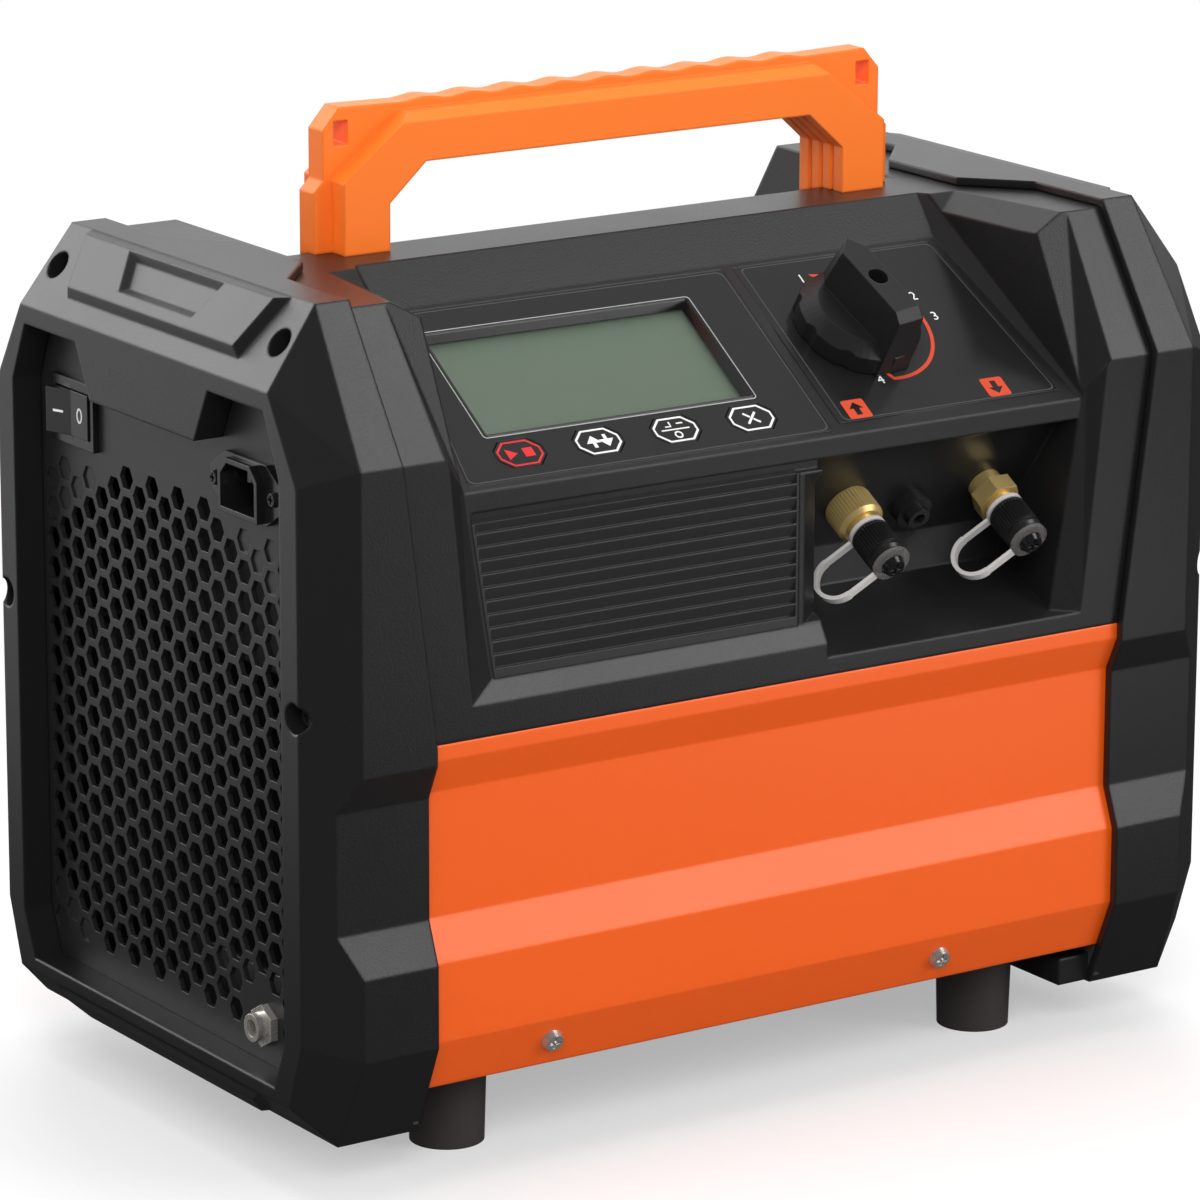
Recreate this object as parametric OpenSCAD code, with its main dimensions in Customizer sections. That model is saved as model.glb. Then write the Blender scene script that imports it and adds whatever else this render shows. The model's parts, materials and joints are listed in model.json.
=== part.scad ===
// Portable refrigerant recovery machine: a case of formed sheet and moulded shells with a
// tilted control panel, two capped service fittings, a carrying handle and a compressor inside.
// Millimetres, +Z up, the front faces -Y, and the origin lies on the floor under the middle.

/* [Case] */
// Length over the two end rims
body_l = 402; // [392:2:430]
// Depth over the end caps
body_d = 242; // [236:2:256]
// Height of the end caps' top face above the floor
body_h = 320; // [316:2:336]
// Height of the end caps' underside above the floor
belly_h = 18.5; // [15:0.5:22]
// Width of the flat top across the depth
top_w = 172; // [164:2:180]
// Drop from the top face to the shoulder line
shoulder_drop = 52.5; // [48:0.5:56]
// Height of the sloping skirt above the underside
skirt_rise = 34.8; // [32:0.2:37]
// Inward run of the sloping skirt
skirt_in = 14.5; // [12:0.5:17]
// Depth of the long band pressed into the front and rear
band_depth = 6; // [4:0.5:7]
// Height of the middle of the band above the floor
band_mid = 122; // [118:1:126]
// Height of the flat of the band
band_flat = 45; // [40:1:50]
// Height of the slope above the band
band_up = 13; // [10:0.5:15]
// Height of the slope below the band
band_down = 15.5; // [12:0.5:18]

/* [End caps] */
// Wall of the moulded caps
cap_wall = 3; // [2.4:0.1:3.2]
// Height of the caps' surface over the panels and the housing
cap_proud = 3.4; // [3.3:0.1:3.8]
// Length of the chamfer from the rim to the full section
chamfer_l = 17.6; // [15:0.2:20]
// Length of the chamfer at the top face
top_chamfer_l = 21; // [19:0.5:23]
// Inset of the rim at the front and rear
rim_in = 14; // [12:0.5:16]
// Drop from the top face to the rim's upper corner
rim_drop = 28.6; // [26:0.2:30]
// Rise from the underside to the rim's lower corner
rim_rise = 15; // [13:0.5:17]
// Width of the rim around the pocket
rim_w = 11.5; // [10.5:0.5:13]
// Depth of the pocket that holds the grille
pocket_depth = 12; // [10:0.5:13]
// Reach of the cap from the rim to its seam, beside the front panel
seam_reach = 48.5; // [47:0.5:52]
// Reach of the cap from the rim to its seam, at the top
top_reach = 35; // [33:0.5:36]
// Reach of the tongue on the top face
tongue_reach = 55; // [52:0.5:57]
// Half width of the tongue where it leaves the cap
tongue_root = 47; // [42:0.5:50]
// Half width of the tongue at its end
tongue_tip = 22; // [18:0.5:26]
// Half width of the brow that hangs between the two notches
brow_half = 37.5; // [34:0.5:40]
// Drop of the brow below the pocket's top
brow_drop = 20; // [17:0.5:22]
// Height of the raised pad on the end slope
pad_rise = 3.5; // [2:0.5:4]
// Half width of the dent in the pad
dent_half = 34; // [28:0.5:40]
// Depth of the dent in the pad
dent_depth = 2.4; // [1.5:0.1:2.8]
// Radius of the screw counterbores in the caps
cap_bore_r = 5.6; // [5:0.1:6]

/* [Grilles] */
// Thickness of the grille plate
grille_t = 2; // [1.5:0.1:2.5]
// Corner radius of a hexagon opening
hex_r = 4.8; // [4.4:0.05:5]
// Column pitch of the hexagons
hex_pitch_y = 9.3; // [9:0.1:9.5]
// Row pitch of the hexagons
hex_pitch_z = 11.4; // [11:0.1:11.8]
// Steps between the rows of hexagons
hex_rows = 16; // [14:1:16]
// Depth of the blind hexagons in the corners
blind_depth = 0.8; // [0.5:0.1:1.2]

/* [Panels and base] */
// Sheet thickness of the front and rear panels
sheet_t = 1.5; // [1:0.1:1.8]
// Height of the seam between the panels and the upper housing
seam_z = 164; // [162:0.5:166]
// Height of the panels' lower edge
panel_low_z = 34.7; // [33:0.1:36]
// Width of the panels' return flanges
flange_w = 12; // [10:0.5:14]
// Thickness of the base plate
base_t = 2; // [1.5:0.1:3]
// Length that the panels and housing tuck under the caps
tuck = 6; // [5:0.5:8]
// Distance between the two screws of a panel
panel_screw_span = 174; // [160:2:180]
// Place of the middle between them along the length
panel_screw_mid = -13; // [-16:0.5:0]

/* [Feet] */
// Distance between feet along the length
foot_span_x = 240.6; // [230:0.2:250]
// Distance between feet across the depth
foot_span_y = 150.2; // [140:0.2:160]
// Radius of a foot at the floor
foot_r = 13.8; // [12.5:0.1:15]
// Widening of a foot up to the base
foot_taper = 1; // [0.5:0.1:2]

/* [Control panel] */
// Tilt of the control panel from level
panel_tilt = 33.5; // [32:0.5:35]
// Height of the panel's front edge
lip_z = 252; // [250:0.5:254]
// Setback of the panel's front edge from the housing's front
lip_back = 4.4; // [3.5:0.1:6]
// Height of the lip's front face
lip_h = 7.5; // [6.5:0.5:9]
// Half width of the panel at its front edge
panel_half = 136.4; // [134:0.2:138]
// Half width of the panel at its rear edge
panel_rear_half = 123.4; // [121:0.2:126]
// Length of the panel along its slope
panel_len = 90.2; // [88:0.2:91]
// Half width of the space between the cheeks at their outer edge
cheek_half = 145; // [143.5:0.5:146]
// Wall of the upper housing
housing_wall = 3; // [2.5:0.1:3.4]
// Depth of the ridge's flat top ahead of the middle
ridge_front = 24; // [22:0.5:26]
// Thickness of the two overlays
overlay_t = 1; // [0.6:0.1:1.4]
// Width of the display window
window_w = 114.5; // [100:0.5:118]
// Height of the display window along the slope
window_h = 50.5; // [44:0.5:52]
// Width of a key
key_w = 20; // [16:0.5:22]
// Height of a key along the slope
key_h = 13; // [11:0.5:14]
// Pitch of the keys
key_pitch = 33.3; // [30:0.1:34.5]
// Travel of a key
key_travel = 0.5; // [0.3:0.1:0.8]
// Gap around pieces that move or drop in
gap = 0.3; // [0.25:0.05:0.4]

/* [Selector] */
// Radius of the knob's base
knob_r = 24; // [22:0.5:25]
// Height of the knob over the overlay
knob_h = 27; // [25:0.5:29]
// Height of the knob's scalloped base
knob_base_h = 9; // [7:0.5:11]
// Width of the pointer bar
knob_bar_w = 12; // [10:0.5:14]
// Place of the knob along the length
knob_x = 61.5; // [59:0.5:64]
// Place of the knob along the slope
knob_s = 50; // [48:0.5:52]
// Turn of the pointer from straight up the slope at rest
knob_rest = 8; // [0:1:15]
// Radius of the valve stem
stem_r = 4; // [3.5:0.1:4.5]
// Running clearance of shafts in their bores
run_gap = 0.05; // [0.03:0.01:0.08]

/* [Service fittings] */
// Tilt of the fittings below level
fit_tilt = 30; // [28:0.5:32]
// Distance of the fittings down the recess wall
fit_drop = 26.5; // [25:0.5:28]
// Distance of the sealed plug down the recess wall
plug_drop = 31.5; // [28:0.5:32]
// Place of the inlet along the length
inlet_x = 47.5; // [46:0.5:49]
// Place of the outlet along the length
outlet_x = 111; // [108:0.5:112]
// Place of the sealed plug along the length
plug_x = 77.5; // [75:0.5:80]
// Radius of the flare end
flare_r = 5.5; // [5.2:0.1:5.8]
// Radius of the sealing caps
flare_cap_r = 7.6; // [7.2:0.1:8.2]
// Length of the sealing caps
flare_cap_l = 15; // [14:0.5:16]
// Length of a fitting's body outside the wall
fit_body_l = 12; // [11:0.5:13]
// Length of the neck that carries the strap
neck_l = 4.2; // [4:0.1:5]
// Straight length of the strap on each side of its loop
strap_arm = 11.5; // [9:0.5:13]

/* [Handle] */
// Distance between the outer faces of the legs
handle_w = 241; // [236:1:246]
// Height of the handle over the ridge
handle_rise = 49.5; // [46:0.5:54]
// Depth of the handle, front to rear
handle_d = 28; // [24:1:30]
// Thickness of a leg
leg_t = 19.3; // [17:0.1:22]
// Thickness of the grip
grip_t = 18; // [16:0.5:20]
// Place of the handle's middle behind the ridge line
handle_y = 5; // [3:0.5:6]

/* [Switch and sockets] */
// Length of the switch's bezel
switch_l = 31; // [29:0.5:33]
// Height of the switch's bezel
switch_h = 25; // [23:0.5:27]
// Place of the switch across the depth
switch_y = 68; // [66:0.5:70]
// Height of the switch above the floor
switch_z = 253; // [251:0.5:255]
// Place of the power inlet across the depth
socket_y = -57; // [-60:0.5:-55]
// Height of the power inlet above the floor
socket_z = 250; // [248:0.5:252]
// Distance between the power inlet's screws
socket_screw_span = 40; // [39:0.5:41]
// Place of the jack across the depth
jack_y = -64; // [-68:0.5:-60]
// Height of the jack above the floor
jack_z = 53; // [51:0.5:56]

/* [Compressor] */
// Height of the shaft above the floor
shaft_z = 108; // [104:1:112]
// Place of the shaft behind the middle
shaft_y = 8; // [0:1:12]
// Outer radius of the motor
motor_r = 46; // [42:1:50]
// Length of the motor
motor_l = 92; // [84:2:96]
// Radius of the motor shaft
shaft_r = 6; // [5:0.5:7]
// Outer radius of a bearing
bearing_r = 15; // [13:0.5:16]
// Width of a bearing
bearing_w = 9; // [8:0.5:10]
// Radius of the fan over its blades
fan_r = 54; // [48:1:55]
// Depth of the fan
fan_d = 18; // [14:1:20]
// Number of fan blades
fan_blades = 7; // [5:1:9]
// Number of condenser fins
fin_count = 26; // [18:1:30]

/* [Hidden] */
$fn = 48;
tiny = 0.01;
far = 500;
cut_l = 25;
half_l = body_l / 2;
half_d = body_d / 2;
shoulder_z = body_h - shoulder_drop;
skirt_z = belly_h + skirt_rise;
band_hi = band_mid + band_flat / 2;
band_lo = band_mid - band_flat / 2;
seam_x = half_l - seam_reach;
top_seam_x = half_l - top_reach;
grille_x = half_l - pocket_depth;
rim_half = half_d - rim_in;
rim_top_z = body_h - rim_drop;
rim_low_z = belly_h + rim_rise;
pocket_half = rim_half - rim_w;
pocket_low = rim_low_z + 5;
pocket_top = rim_top_z - 7;
notch_top = brow_half + 10;
slope_angle = atan2(rim_drop, top_chamfer_l);
slope_len = norm([rim_drop, top_chamfer_l]);
deck_z = body_h - cap_proud;
front_y = -half_d + cap_proud;
lip_y = front_y + lip_back;
panel_top_y = lip_y + panel_len * cos(panel_tilt);
panel_top_z = lip_z + panel_len * sin(panel_tilt);
base_z = panel_low_z + sheet_t;
floor_z = base_z + base_t;
housing_x = top_seam_x + tuck;
panel_x = seam_x + tuck;
wall_top = [lip_y + 12, lip_z - lip_h - 3.5];
wall_len = 46;
wall_step = 15.5;
fit_neck_z = fit_body_l;
fit_cap_z = fit_neck_z + neck_l;
fit_end_z = fit_cap_z + flare_cap_l;
strap_t = 1.6;
strap_w = 3.6;
stud_r = 2.4;
shank_r = 2;
window_x = -56.2;
window_s = 50.7;
key_s = 14.8;
key_x0 = -105;
key_t = 1.6;
jack_r = 5.2;
screw_head_r = 4;
condenser_x = seam_x - 26;
fan_x = condenser_x - 30.5;
motor_x1 = fan_x - 26;
motor_x0 = motor_x1 - motor_l;
condenser_d = 24;
condenser_half = 92;
condenser_top = seam_z - 6;

orange = [0.93, 0.37, 0.11];
bright_orange = [1.0, 0.43, 0.12];
black = [0.16, 0.16, 0.17];
soft_black = [0.1, 0.1, 0.105];
steel = [0.7, 0.71, 0.72];
brass = [0.8, 0.63, 0.3];
copper = [0.78, 0.45, 0.28];
alloy = [0.62, 0.63, 0.65];
nylon = [0.93, 0.93, 0.91];

// Outline helpers: a mitred inset of a counterclockwise outline, and a mirrored half
function unit(v) = v / norm(v);
function left_of(a, b) = [-unit(b - a)[1], unit(b - a)[0]];
function inset(p, d) = [
  for (i = [0:len(p) - 1])
    let (n = len(p), u = left_of(p[(i + n - 1) % n], p[i]), v = left_of(p[i], p[(i + 1) % n]))
      p[i] + d * (u + v) / (1 + u * v)
];
function mirrored(side) = concat(side, [for (i = [len(side) - 1:-1:0]) [-side[i][0], side[i][1]]]);

// The full section of the end caps, with the pressed bands, and the same section without them
case_outline = mirrored([
  [half_d - skirt_in, belly_h], [half_d, skirt_z], [half_d, band_lo - band_down],
  [half_d - band_depth, band_lo], [half_d - band_depth, band_hi], [half_d, band_hi + band_up],
  [half_d, shoulder_z], [top_w / 2, body_h]
]);
main_outline = mirrored([
  [half_d - skirt_in, belly_h], [half_d, skirt_z], [half_d, shoulder_z], [top_w / 2, body_h]
]);
rim_outline = mirrored([
  [half_d - skirt_in - 8, rim_low_z], [rim_half, skirt_z + 5.4], [rim_half, shoulder_z - 6.8],
  [top_w / 2 + 2.5, rim_top_z]
]);
body_outline = inset(case_outline, cap_proud);

// The pocket in the cap's end, with a notch on each side of the brow
pocket_frame = mirrored([
  [pocket_half - 7.5, pocket_low], [pocket_half, skirt_z + 3], [pocket_half, shoulder_z - 5.5],
  [pocket_half - 10, pocket_top]
]);
pocket_outline = concat(
  [for (i = [0:3]) pocket_frame[i]],
  [[notch_top, pocket_top], [brow_half, pocket_top - brow_drop]],
  [[-brow_half, pocket_top - brow_drop], [-notch_top, pocket_top]],
  [for (i = [4:7]) pocket_frame[i]]
);

// Extrudes a section drawn in Y and Z along X, and one drawn in X and Z along Y
module along_x(x0, x1) {
  translate([x0, 0, 0]) rotate([90, 0, 90]) linear_extrude(x1 - x0) children();
}
module along_y(y0, y1) {
  translate([0, y1, 0]) rotate([90, 0, 0]) linear_extrude(y1 - y0) children();
}
module point_hull(p) {
  hull() polyhedron(points = p, faces = [[for (i = [0:len(p) - 1]) i]]);
}
module both_ends() {
  children();
  mirror([1, 0, 0]) children();
}

// A box between two corners
module block(a, b) {
  translate(a) cube(b - a);
}

// A frustum between an outline and its inset, used for pads and dents
module bevelled(p, d, h) {
  point_hull(concat([for (q = p) [q[0], q[1], 0]], [for (q = inset(p, d)) [q[0], q[1], h]]));
}

// Frames: the control panel's face, the recess wall, and the end slope of a cap
module on_panel(x, s) {
  translate([0, lip_y, lip_z]) rotate([panel_tilt, 0, 0]) translate([x, s, 0]) children();
}
module on_wall(x, drop) {
  translate([0, wall_top[0], wall_top[1]]) rotate([90 + fit_tilt, 0, 0])
    translate([x, -drop, 0]) children();
}
module on_low_slope() {
  translate([half_l, 0, rim_low_z]) rotate([0, 135, 0]) children();
}
module on_slope(up, y) {
  translate([half_l, 0, rim_top_z]) rotate([0, slope_angle, 0]) translate([-up, y, 0]) children();
}

// A pan-head screw along Z with its head's underside at zero
module pan_screw(r, l, head_r, head_h) {
  translate([0, 0, -l]) cylinder(r = r, h = l);
  difference() {
    cylinder(r1 = head_r, r2 = head_r * 0.8, h = head_h);
    translate([0, 0, head_h - 0.9]) {
      block([-head_r * 0.55, -0.5, 0], [head_r * 0.55, 0.5, 2]);
      block([-0.5, -head_r * 0.55, 0], [0.5, head_r * 0.55, 2]);
    }
  }
}

// The corner points of a cap's outer form, or of its hollow when t is the wall
ring_x = [half_l - rim_rise, half_l - chamfer_l, half_l - chamfer_l, half_l - top_chamfer_l];
function cap_points(t, x_in) =
  let (m = inset(main_outline, t), r = inset(rim_outline, t), k = [0, 1, 2, 3, 3, 2, 1, 0])
    concat(
      [for (q = m) [x_in, q[0], q[1]]],
      [for (i = [0:7]) [ring_x[k[i]] - t * 0.6, m[i][0], m[i][1]]],
      [for (q = r) [half_l - t, q[0], q[1]]]
    );
band_outline = [
  [half_d + 9, band_lo - band_down], [half_d + 9, band_hi + band_up], [half_d, band_hi + band_up],
  [half_d - band_depth, band_hi], [half_d - band_depth, band_lo], [half_d, band_lo - band_down]
];
slope_screw = [slope_len * 0.52, top_w / 2 - 7];
rim_screw = [rim_half - 3, (shoulder_z + skirt_z) / 2 + 18];

module bands(t, x_in) {
  for (side = [0, 1]) mirror([0, side, 0])
    along_x(x_in - 2, half_l + 1) polygon(inset(band_outline, -t));
}
module cap_bores(r, depth, extra) {
  for (side = [1, -1]) {
    on_slope(slope_screw[0], side * slope_screw[1])
      translate([0, 0, -depth]) cylinder(r = r, h = depth + extra);
    translate([half_l - depth, side * rim_screw[0], rim_screw[1]])
      rotate([0, 90, 0]) cylinder(r = r, h = depth + extra);
  }
}

// One end cap, drawn for the right end: a shell with a pocket, a tongue and a raised pad
module cap_shell() {
  x_in = seam_x - 2;
  low_slope = norm([rim_rise, rim_rise]);
  low_half = slope_screw[1] - 5;
  boss_l = 12;
  difference() {
    union() {
      difference() {
        point_hull(cap_points(0, x_in));
        bands(0, x_in);
        difference() {
          point_hull(cap_points(cap_wall, x_in - 1));
          bands(cap_wall, x_in);
          along_x(grille_x, half_l) polygon(inset(pocket_outline, -cap_wall));
          cap_bores(cap_bore_r + 2, boss_l, 0);
        }
        along_y(-far, far) polygon([
          [x_in - 2, belly_h - 1], [seam_x, belly_h - 1], [seam_x, seam_z], [top_seam_x, shoulder_z],
          [top_seam_x, body_h + 1], [x_in - 2, body_h + 1]
        ]);
      }
      translate([0, 0, body_h - cap_wall]) linear_extrude(cap_wall) polygon([
        [top_seam_x + 2, -tongue_root], [top_seam_x + 2, tongue_root],
        [half_l - tongue_reach, tongue_tip], [half_l - tongue_reach, -tongue_tip]
      ]);
      on_slope(0, 0) bevelled([
        [-slope_len + 0.5, -slope_screw[1] + 8], [-8, -slope_screw[1] + 18],
        [-8, slope_screw[1] - 18], [-slope_len + 0.5, slope_screw[1] - 8]
      ], 3, pad_rise);
      on_low_slope() bevelled([
        [3, -low_half], [low_slope - 2.7, 10 - low_half], [low_slope - 2.7, low_half - 10], [3, low_half]
      ], 2.4, pad_rise - 1);
    }
    on_slope(0, 0) translate([0, 0, pad_rise + tiny]) mirror([0, 0, 1]) bevelled([
      [4 - slope_len, -dent_half], [20 - slope_len, 8 - dent_half],
      [20 - slope_len, dent_half - 8], [4 - slope_len, dent_half]
    ], 3, dent_depth);
    along_x(grille_x - 1, half_l + 1) polygon(pocket_outline);
    cap_bores(cap_bore_r, boss_l - 4, 6);
    cap_bores(shank_r + 0.2, boss_l + 8, 0);
  }
}
module left_end_cap() { color(black) mirror([1, 0, 0]) cap_shell(); }
module right_end_cap() {
  tab_l = 13.5;
  tab_half = half_d - skirt_in - 2;
  color(black) {
    cap_shell();
    block([seam_x - tab_l, -tab_half, belly_h + 0.5], [seam_x + 2, tab_half, belly_h + 11]);
  }
}

module cap_screw_set() {
  for (side = [1, -1]) {
    on_slope(slope_screw[0], side * slope_screw[1])
      translate([0, 0, -8]) pan_screw(shank_r, 10, screw_head_r, 2.6);
    translate([half_l - 8, side * rim_screw[0], rim_screw[1]])
      rotate([0, 90, 0]) pan_screw(shank_r, 10, screw_head_r, 2.6);
  }
}
module left_cap_screws() { color(steel) mirror([1, 0, 0]) cap_screw_set(); }
module right_cap_screws() { color(steel) cap_screw_set(); }

// Hexagons in staggered columns: open inside an area with clipped corners, blind outside it
vent_top = switch_z - switch_h / 2 - 5.4;
vent_low = vent_top - hex_rows * hex_pitch_z;
vent_columns = 10;
function beside_parts(y, z) =
  norm([y - jack_y, z - jack_z]) < 15
  || (abs(y - socket_y) < 31 && z > socket_z - 19) || (abs(y - switch_y) < 22 && z > switch_z - 19);
function hex_open(i, z) =
  z < vent_top - (abs(i) - 3) * hex_pitch_z / 2 + tiny
  && z > vent_low + (abs(i) - 5) * hex_pitch_z / 2 - tiny;
module hex_field(keep_clear, open) {
  for (i = [-vent_columns:vent_columns - 1], j = [0:hex_rows]) {
    y = (i + 0.5) * hex_pitch_y;
    z = vent_top - (j + (abs(i) + 1) % 2 / 2) * hex_pitch_z;
    if (z > vent_low - tiny && hex_open(i, z) == open && !(keep_clear && beside_parts(y, z)))
      translate([y, z]) circle(r = hex_r, $fn = 6);
  }
}
module grille_plate(keep_clear) {
  difference() {
    along_x(grille_x - grille_t, grille_x) difference() {
      polygon(inset(pocket_frame, -cap_wall));
      hex_field(keep_clear, true);
      if (keep_clear) {
        translate([switch_y, switch_z]) square([switch_l - 4, switch_h - 3.5], center = true);
        translate([socket_y, socket_z]) square([28, 21], center = true);
        translate([jack_y, jack_z]) circle(r = jack_r + 0.1);
        for (side = [1, -1])
          translate([socket_y + side * socket_screw_span / 2, socket_z]) circle(r = 1.7);
      }
    }
    along_x(grille_x - blind_depth, grille_x + 1) hex_field(keep_clear, false);
  }
}
module left_grille() { color(soft_black) mirror([1, 0, 0]) grille_plate(true); }
module right_grille() { color(soft_black) grille_plate(false); }

// A formed sheet along the front, with returned flanges at its upper and lower edges
panel_screw_z = (panel_low_z + skirt_z) / 2 + 1;
skirt_run = skirt_in / skirt_rise;
skirt_tilt = atan(skirt_run);
function skirt_y(z) = half_d - cap_proud * sqrt(1 + skirt_run * skirt_run) - (skirt_z - z) * skirt_run;
low_y = skirt_y(panel_low_z);
module panel_sheet() {
  difference() {
    along_x(-panel_x, panel_x) union() {
      intersection() {
        difference() {
          polygon(body_outline);
          polygon(inset(body_outline, sheet_t));
        }
        translate([-half_d, panel_low_z]) square([half_d / 2, seam_z - panel_low_z]);
      }
      translate([front_y + sheet_t / 2, seam_z - sheet_t]) square([flange_w, sheet_t]);
      translate([-low_y + sheet_t / 2, panel_low_z]) square([flange_w, sheet_t]);
    }
    for (side = [1, -1])
      on_skirt(panel_screw_mid + side * panel_screw_span / 2, 0)
        translate([0, 0, -sheet_t * 3]) cylinder(r = shank_r + 0.2, h = sheet_t * 6);
  }
}
module on_skirt(x, out) {
  translate([x, -skirt_y(panel_screw_z), panel_screw_z]) rotate([90 + skirt_tilt, 0, 0])
    translate([0, 0, out]) children();
}
module panel_screw_set() {
  for (side = [1, -1])
    on_skirt(panel_screw_mid + side * panel_screw_span / 2, 0) pan_screw(shank_r, 7, 4.4, 2.6);
}
module front_panel() { color(orange) panel_sheet(); }
module rear_panel() { color(orange) mirror([0, 1, 0]) panel_sheet(); }
module front_panel_screws() { color(steel) panel_screw_set(); }
module rear_panel_screws() { color(steel) mirror([0, 1, 0]) panel_screw_set(); }

// The base tray on the panels' lower flanges, turned up at both ends
base_half_y = low_y - sheet_t - 1;
base_half_x = panel_x - 2;
module chassis_base() {
  rise = 14;
  color(steel) difference() {
    union() {
      block([-base_half_x, -base_half_y, base_z], [base_half_x, base_half_y, floor_z]);
      for (side = [0, 1]) mirror([side, 0, 0])
        block([base_half_x - base_t, -base_half_y, base_z], [base_half_x, base_half_y, floor_z + rise]);
    }
    at_feet() translate([0, 0, base_z - 1]) cylinder(r = shank_r + 0.7, h = base_t + 2);
  }
}

// Rubber feet, each held by a screw from below
foot_bore_z = 18;
module at_feet() {
  for (sx = [-1, 1], sy = [-1, 1]) translate([sx * foot_span_x / 2, sy * foot_span_y / 2, 0]) children();
}
module foot(sx, sy) {
  color(soft_black) translate([sx * foot_span_x / 2, sy * foot_span_y / 2, 0]) difference() {
    cylinder(r1 = foot_r, r2 = foot_r + foot_taper, h = base_z);
    translate([0, 0, -1]) cylinder(r = 5.5, h = foot_bore_z + 1);
    cylinder(r = shank_r + 0.7, h = base_z + 1);
  }
}
module front_left_foot() { foot(-1, -1); }
module front_right_foot() { foot(1, -1); }
module rear_left_foot() { foot(-1, 1); }
module rear_right_foot() { foot(1, 1); }
module foot_screws() {
  color(steel) at_feet() translate([0, 0, foot_bore_z]) mirror([0, 0, 1])
    pan_screw(shank_r + 0.5, base_z - foot_bore_z + base_t + 3, 5, 3);
}

// The upper housing: a moulding with cheeks, a sunk control panel, a recess for the fittings,
// a flat wall for the louvre and a ridge that carries the handle
ledge_z = seam_z + 12;
ledge_back_z = ledge_z + 7.2;
recess_floor_z = seam_z + 6.7;
recess_x0 = 8.5;
recess_x1 = recess_x0 + 9.7;
louvre_y = lip_y;
louvre_t = 3;
louvre_in = 1.2;
louvre_top = lip_z - 11.5;
louvre_low = ledge_back_z;
lip_under = lip_z - lip_h;
ridge_flat = 4;
ridge_rear = 24;
ridge_rear_z = deck_z - 4.8;
deck_t = 4;
handle_screw_y = ridge_flat - 5.2;
rear_half = panel_half + 0.6;
wall_low = wall_top + wall_len * [sin(fit_tilt), -cos(fit_tilt)];
wall_foot = wall_low - [0, wall_step];
fit_places = [[inlet_x, fit_drop], [outlet_x, fit_drop], [plug_x, plug_drop]];
upper_outline = mirrored([[half_d - cap_proud, seam_z], body_outline[6], body_outline[7]]);
function pair(p) = concat(p, [for (q = p) [-q[0], q[1], q[2]]]);

module panel_pocket() {
  out = 16;
  rise = 60;
  lean = 8;
  up = [0, -sin(panel_tilt), cos(panel_tilt)] * rise;
  edge = [panel_half + 2, lip_y - out * cos(panel_tilt), lip_z - out * sin(panel_tilt)];
  top = [panel_rear_half, panel_top_y, panel_top_z];
  ridge = [panel_rear_half + 3, panel_top_y - 1.5 * (ridge_front + panel_top_y),
           panel_top_z + 1.5 * (deck_z - panel_top_z)];
  point_hull(pair([edge, top, edge + up + [lean, 0, 0], top + up + [lean, 0, 0], ridge]));
}
// Bevels between the cheeks' outer edges and their inner walls
module cheek_bevels() {
  rear_in = [panel_rear_half + 0.6, panel_top_y - 1, deck_z - 8];
  corner_in = [panel_half - 3.4, -top_w / 2 + 1, deck_z - 8.2];
  low_in = [panel_half, lip_y, lip_z + 1];
  rear_out = [cheek_half - 2, -ridge_front - 2.4, deck_z + 1.6];
  corner_out = [cheek_half + 6, -top_w / 2 + 2.4, deck_z + 1.6];
  low_out = [cheek_half + 3.5, front_y - 1, shoulder_z + 0.7];
  point_hull(pair([rear_in, corner_in, rear_out, corner_out]));
  point_hull(pair([corner_in, low_in, corner_out, low_out]));
}
// The slanting edges of the front recess, at the housing's face and at the depth of the lip
function edge_x(z) = panel_half + 7.6 - (lip_z - z) * 0.105;
function side_x(z) = panel_half - (lip_z - z) * 0.165;
module front_recesses() {
  clear_y = front_y - 10;
  brow_z = shoulder_z - 1.8;
  lap_z = ledge_back_z + 8;
  section = [
    [clear_y, recess_floor_z - 2], [front_y, recess_floor_z], wall_foot, wall_low, wall_top,
    [lip_y, lip_under], [clear_y, lip_under]
  ];
  point_hull(pair(concat(
    [for (z = [ledge_z, brow_z], y = [clear_y, front_y]) [edge_x(z), y, z]],
    [for (z = [ledge_back_z, brow_z]) [side_x(z), lip_y, z]]
  )));
  point_hull(concat(
    [for (z = [recess_floor_z, lap_z], y = [clear_y, front_y], x = [recess_x1, edge_x(z)]) [x, y, z]],
    [for (z = [recess_floor_z + 1.7, lap_z], x = [recess_x1, side_x(z)]) [x, lip_y, z]]
  ));
  point_hull([for (p = section, x = [recess_x1, side_x(p[1])]) [x, p[0], p[1]]]);
  point_hull(concat(
    [for (x = [recess_x0, recess_x1 + 1], z = [louvre_low, louvre_top]) [x, lip_y - 1, z]],
    [for (x = [recess_x1, recess_x1 + 1], z = [louvre_low + 3, louvre_top - 6]) [x, lip_y + 5, z]]
  ));
}
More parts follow.
